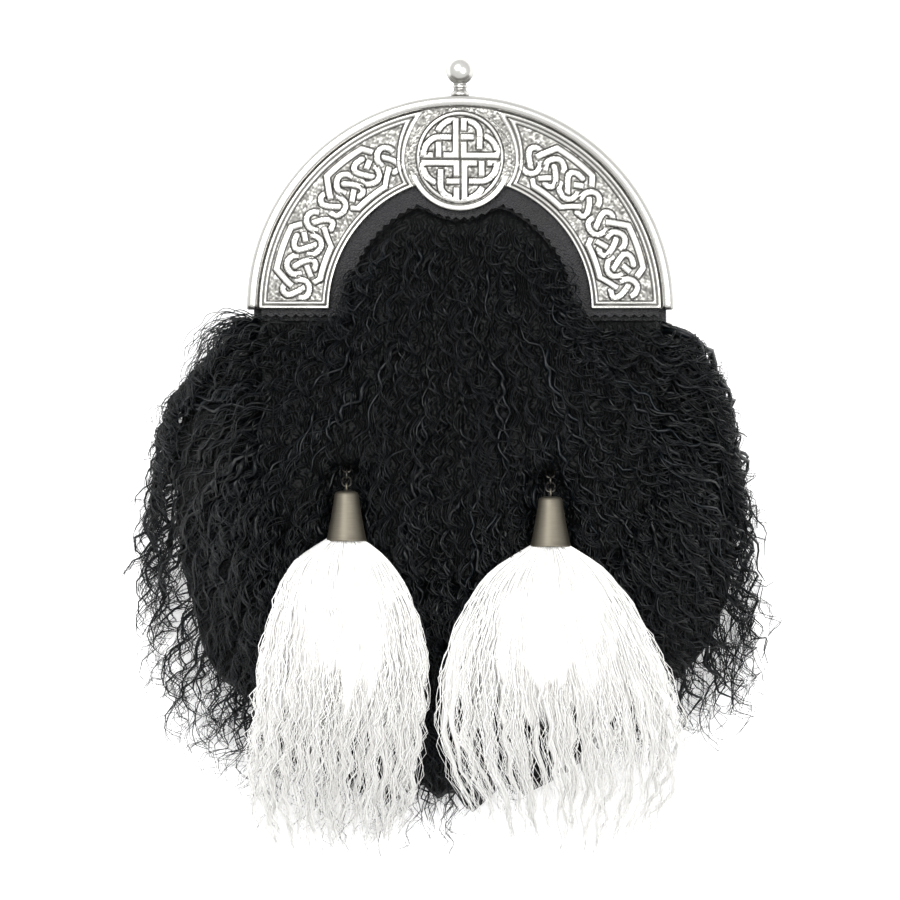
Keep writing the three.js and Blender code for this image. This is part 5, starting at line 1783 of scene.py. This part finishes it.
def white_paths(side, u, v, start, share, wave, stations):
    """Paths from places across (u) and up (v) the tassel, between two shares of its length."""
    mouth_y = TASSELS[side]["top"] - CONE["length"]
    t = np.linspace(0, 1, stations)
    full = mouth_y + 3 - min(WHITE_OUTLINE[side]["y"])
    down = start + (share[:, None] - start) * t**1.3
    y = mouth_y + 3 - full * down
    low, high = white_outline(side, y)
    x = (low + high) / 2 + u * (high - low) / 2
    for _ in range(2):
        x[:, 2:-1] = (x[:, 1:-2] + 2 * x[:, 2:-1] + x[:, 3:]) / 4
    z = tassel_middle(x, y, mouth_y) + v * tassel_height(y, mouth_y)
    turn = 2 * math.pi * WHITE_LENGTH * down / wave["pitch"][:, None] + wave["start"][:, None]
    turn = turn + 0.8 * np.sin(0.37 * turn + wave["start"][:, None])
    sway = wave["swing"][:, None] * (0.3 + 0.7 * ease(0.15, 0.85, down)) * ease(0.02, 0.2, down)
    x = x + sway * np.sin(turn)
    y = y + 0.45 * sway * np.cos(turn + 0.6)
    z = np.maximum(z + 0.5 * sway * np.cos(turn), FLOOR_Z + 0.7)
    return np.stack([x, y, z], axis=-1), t


# %% The soft body of a tassel
BODY = {"to": 0.53, "rows": 44, "round": 76, "thick": 0.86}
BODY_WIDTH = {"at": [0, 0.1, 0.25, 0.4, 0.53], "share": [0.95, 0.9, 0.76, 0.6, 0.3]}


def tassel_body(side):
    mouth_y = TASSELS[side]["top"] - CONE["length"]
    full = mouth_y + 3 - min(WHITE_OUTLINE[side]["y"])
    around = np.arange(BODY["round"]) * 2 * math.pi / BODY["round"]
    ridge = rng.normal(size=(12, BODY["round"]))
    rows = BODY["to"] * np.linspace(0, 1, BODY["rows"]) ** 1.2
    marks = np.linspace(0, BODY["to"], 12)
    ridges = np.array([[np.interp(row, marks, column) for column in ridge.T] for row in rows])
    ragged = blurred(rng.normal(size=(1, BODY["round"])), 2)[0] * 14
    y = mouth_y + 1 - full * rows[:, None] - ragged * ease(0.3, BODY["to"], rows)[:, None]
    low, high = white_outline(side, y)
    close = 1 - 0.8 * ease(0.36, BODY["to"], rows)[:, None] ** 2
    width = np.interp(rows, BODY_WIDTH["at"], BODY_WIDTH["share"])[:, None]
    swell = 1 + 0.045 * ridges * ease(0.04, 0.2, rows)[:, None]
    x = (low + high) / 2 + np.cos(around) * (high - low) / 2 * width * swell
    flat_x = np.broadcast_to((low + high) / 2, x.shape)
    lift = np.sin(around) * tassel_height(y, mouth_y) * BODY["thick"] * swell * close
    z = np.maximum(tassel_middle(flat_x * 0.4 + x * 0.6, y, mouth_y) + lift, FLOOR_Z + 0.8)
    points = np.stack([x, y, z], axis=-1)
    faces = swept_faces(*points.shape[:2])
    name = f"tassel_body_{side}"
    made = piece(name, points.reshape(-1, 3), faces, white_body, [f"tassel_hair_{side}"])
    welded(made)
    print(name, "has", triangles(made), "triangles")


# %% Clumps and strands of a tassel
WHITE_STRANDS = 530
WHITE_STATIONS = 27
HEART_STATIONS = 30


def tassel(side):
    clump_u = np.linspace(-0.94, 0.94, CLUMPS) + rng.normal(0, 0.03, CLUMPS)
    clump_v = rng.uniform(0.0, 0.7, CLUMPS) * np.sqrt(np.maximum(1 - clump_u**2, 0))
    clump_share = rng.uniform(0.95, 1.05, CLUMPS) - 0.05 * clump_u**2
    clump_wave = {
        "pitch": rng.uniform(14, 24, CLUMPS),
        "start": rng.uniform(0, 2 * math.pi, CLUMPS),
        "swing": rng.uniform(0.8, 2.2, CLUMPS),
    }
    order = rng.permutation(CLUMPS)
    heart_u, heart_v = clump_u[:, None], clump_v[:, None] - 0.3
    hearts, t = white_paths(
        side, heart_u, heart_v, 0.2, clump_share * 0.97, clump_wave, HEART_STATIONS
    )
    hearts = hearts[order]
    heart_radii = rng.uniform(2.2, 3.4, CLUMPS)[:, None] * (1 - 0.94 * t**1.7)
    heart_radii = heart_radii * (0.1 + 0.9 * ease(0, 0.25, t))
    hearts[..., 2] = np.maximum(hearts[..., 2] - 1.2, FLOOR_Z + heart_radii + 0.2)
    shades = rng.uniform(0.3, 0.9, CLUMPS)
    hair = (white_hair, "white_hair", f"tassel_hair_{side}")
    hair_piece(f"tassel_clumps_{side}", hearts, heart_radii, shades, *hair, 5)

    which = rng.integers(0, CLUMPS, WHITE_STRANDS)
    free = rng.random(WHITE_STRANDS) < 0.33
    own_u = clump_u[which] + rng.normal(0, 0.06, WHITE_STRANDS)
    own_u = np.where(free, rng.uniform(-1.02, 1.02, WHITE_STRANDS), own_u)
    own_v = np.where(rng.random(WHITE_STRANDS) < 0.85, rng.uniform(0.35, 1.02, WHITE_STRANDS), -0.7)
    own_v = own_v * np.sqrt(np.maximum(1 - np.clip(own_u, -1, 1) ** 2, 0))
    t = np.linspace(0, 1, WHITE_STATIONS)
    gather = np.where(free[:, None], 0, 0.68 * ease(0.4, 0.9, t))
    u = np.clip(own_u[:, None] * (1 - gather) + clump_u[which][:, None] * gather, -1.04, 1.04)
    v = own_v[:, None] * (1 - gather) + clump_v[which][:, None] * gather
    share = clump_share[which] + rng.normal(0.0, 0.035, WHITE_STRANDS)
    share = np.where(free, rng.uniform(0.8, 1.06, WHITE_STRANDS), share)
    wave = {
        "pitch": np.where(free, rng.uniform(11, 24, WHITE_STRANDS), clump_wave["pitch"][which]),
        "start": clump_wave["start"][which] + rng.normal(0, 0.6, WHITE_STRANDS),
        "swing": clump_wave["swing"][which] * rng.uniform(0.6, 1.5, WHITE_STRANDS) + free * 0.8,
    }
    paths, t = white_paths(side, u, v, 0.0, np.minimum(share, 1.05), wave, WHITE_STATIONS)
    radii = 0.25 * rng.uniform(0.6, 1.25, WHITE_STRANDS)[:, None] * (1 - 0.6 * t**2)
    shades = np.clip(rng.beta(2.0, 1.4, WHITE_STRANDS), 0, 0.999)
    hair_piece(f"tassel_strands_{side}", paths, radii, shades, *hair)


for side in TASSELS:
    tassel_body(side)
    tassel(side)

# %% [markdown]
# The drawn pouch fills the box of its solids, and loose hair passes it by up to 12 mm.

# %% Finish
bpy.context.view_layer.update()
drawn = {made.name: triangles(made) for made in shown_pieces() if "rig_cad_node" not in made}
print("The scene adds", sum(drawn.values()), "triangles, at most", max(drawn.values()), "in one piece")
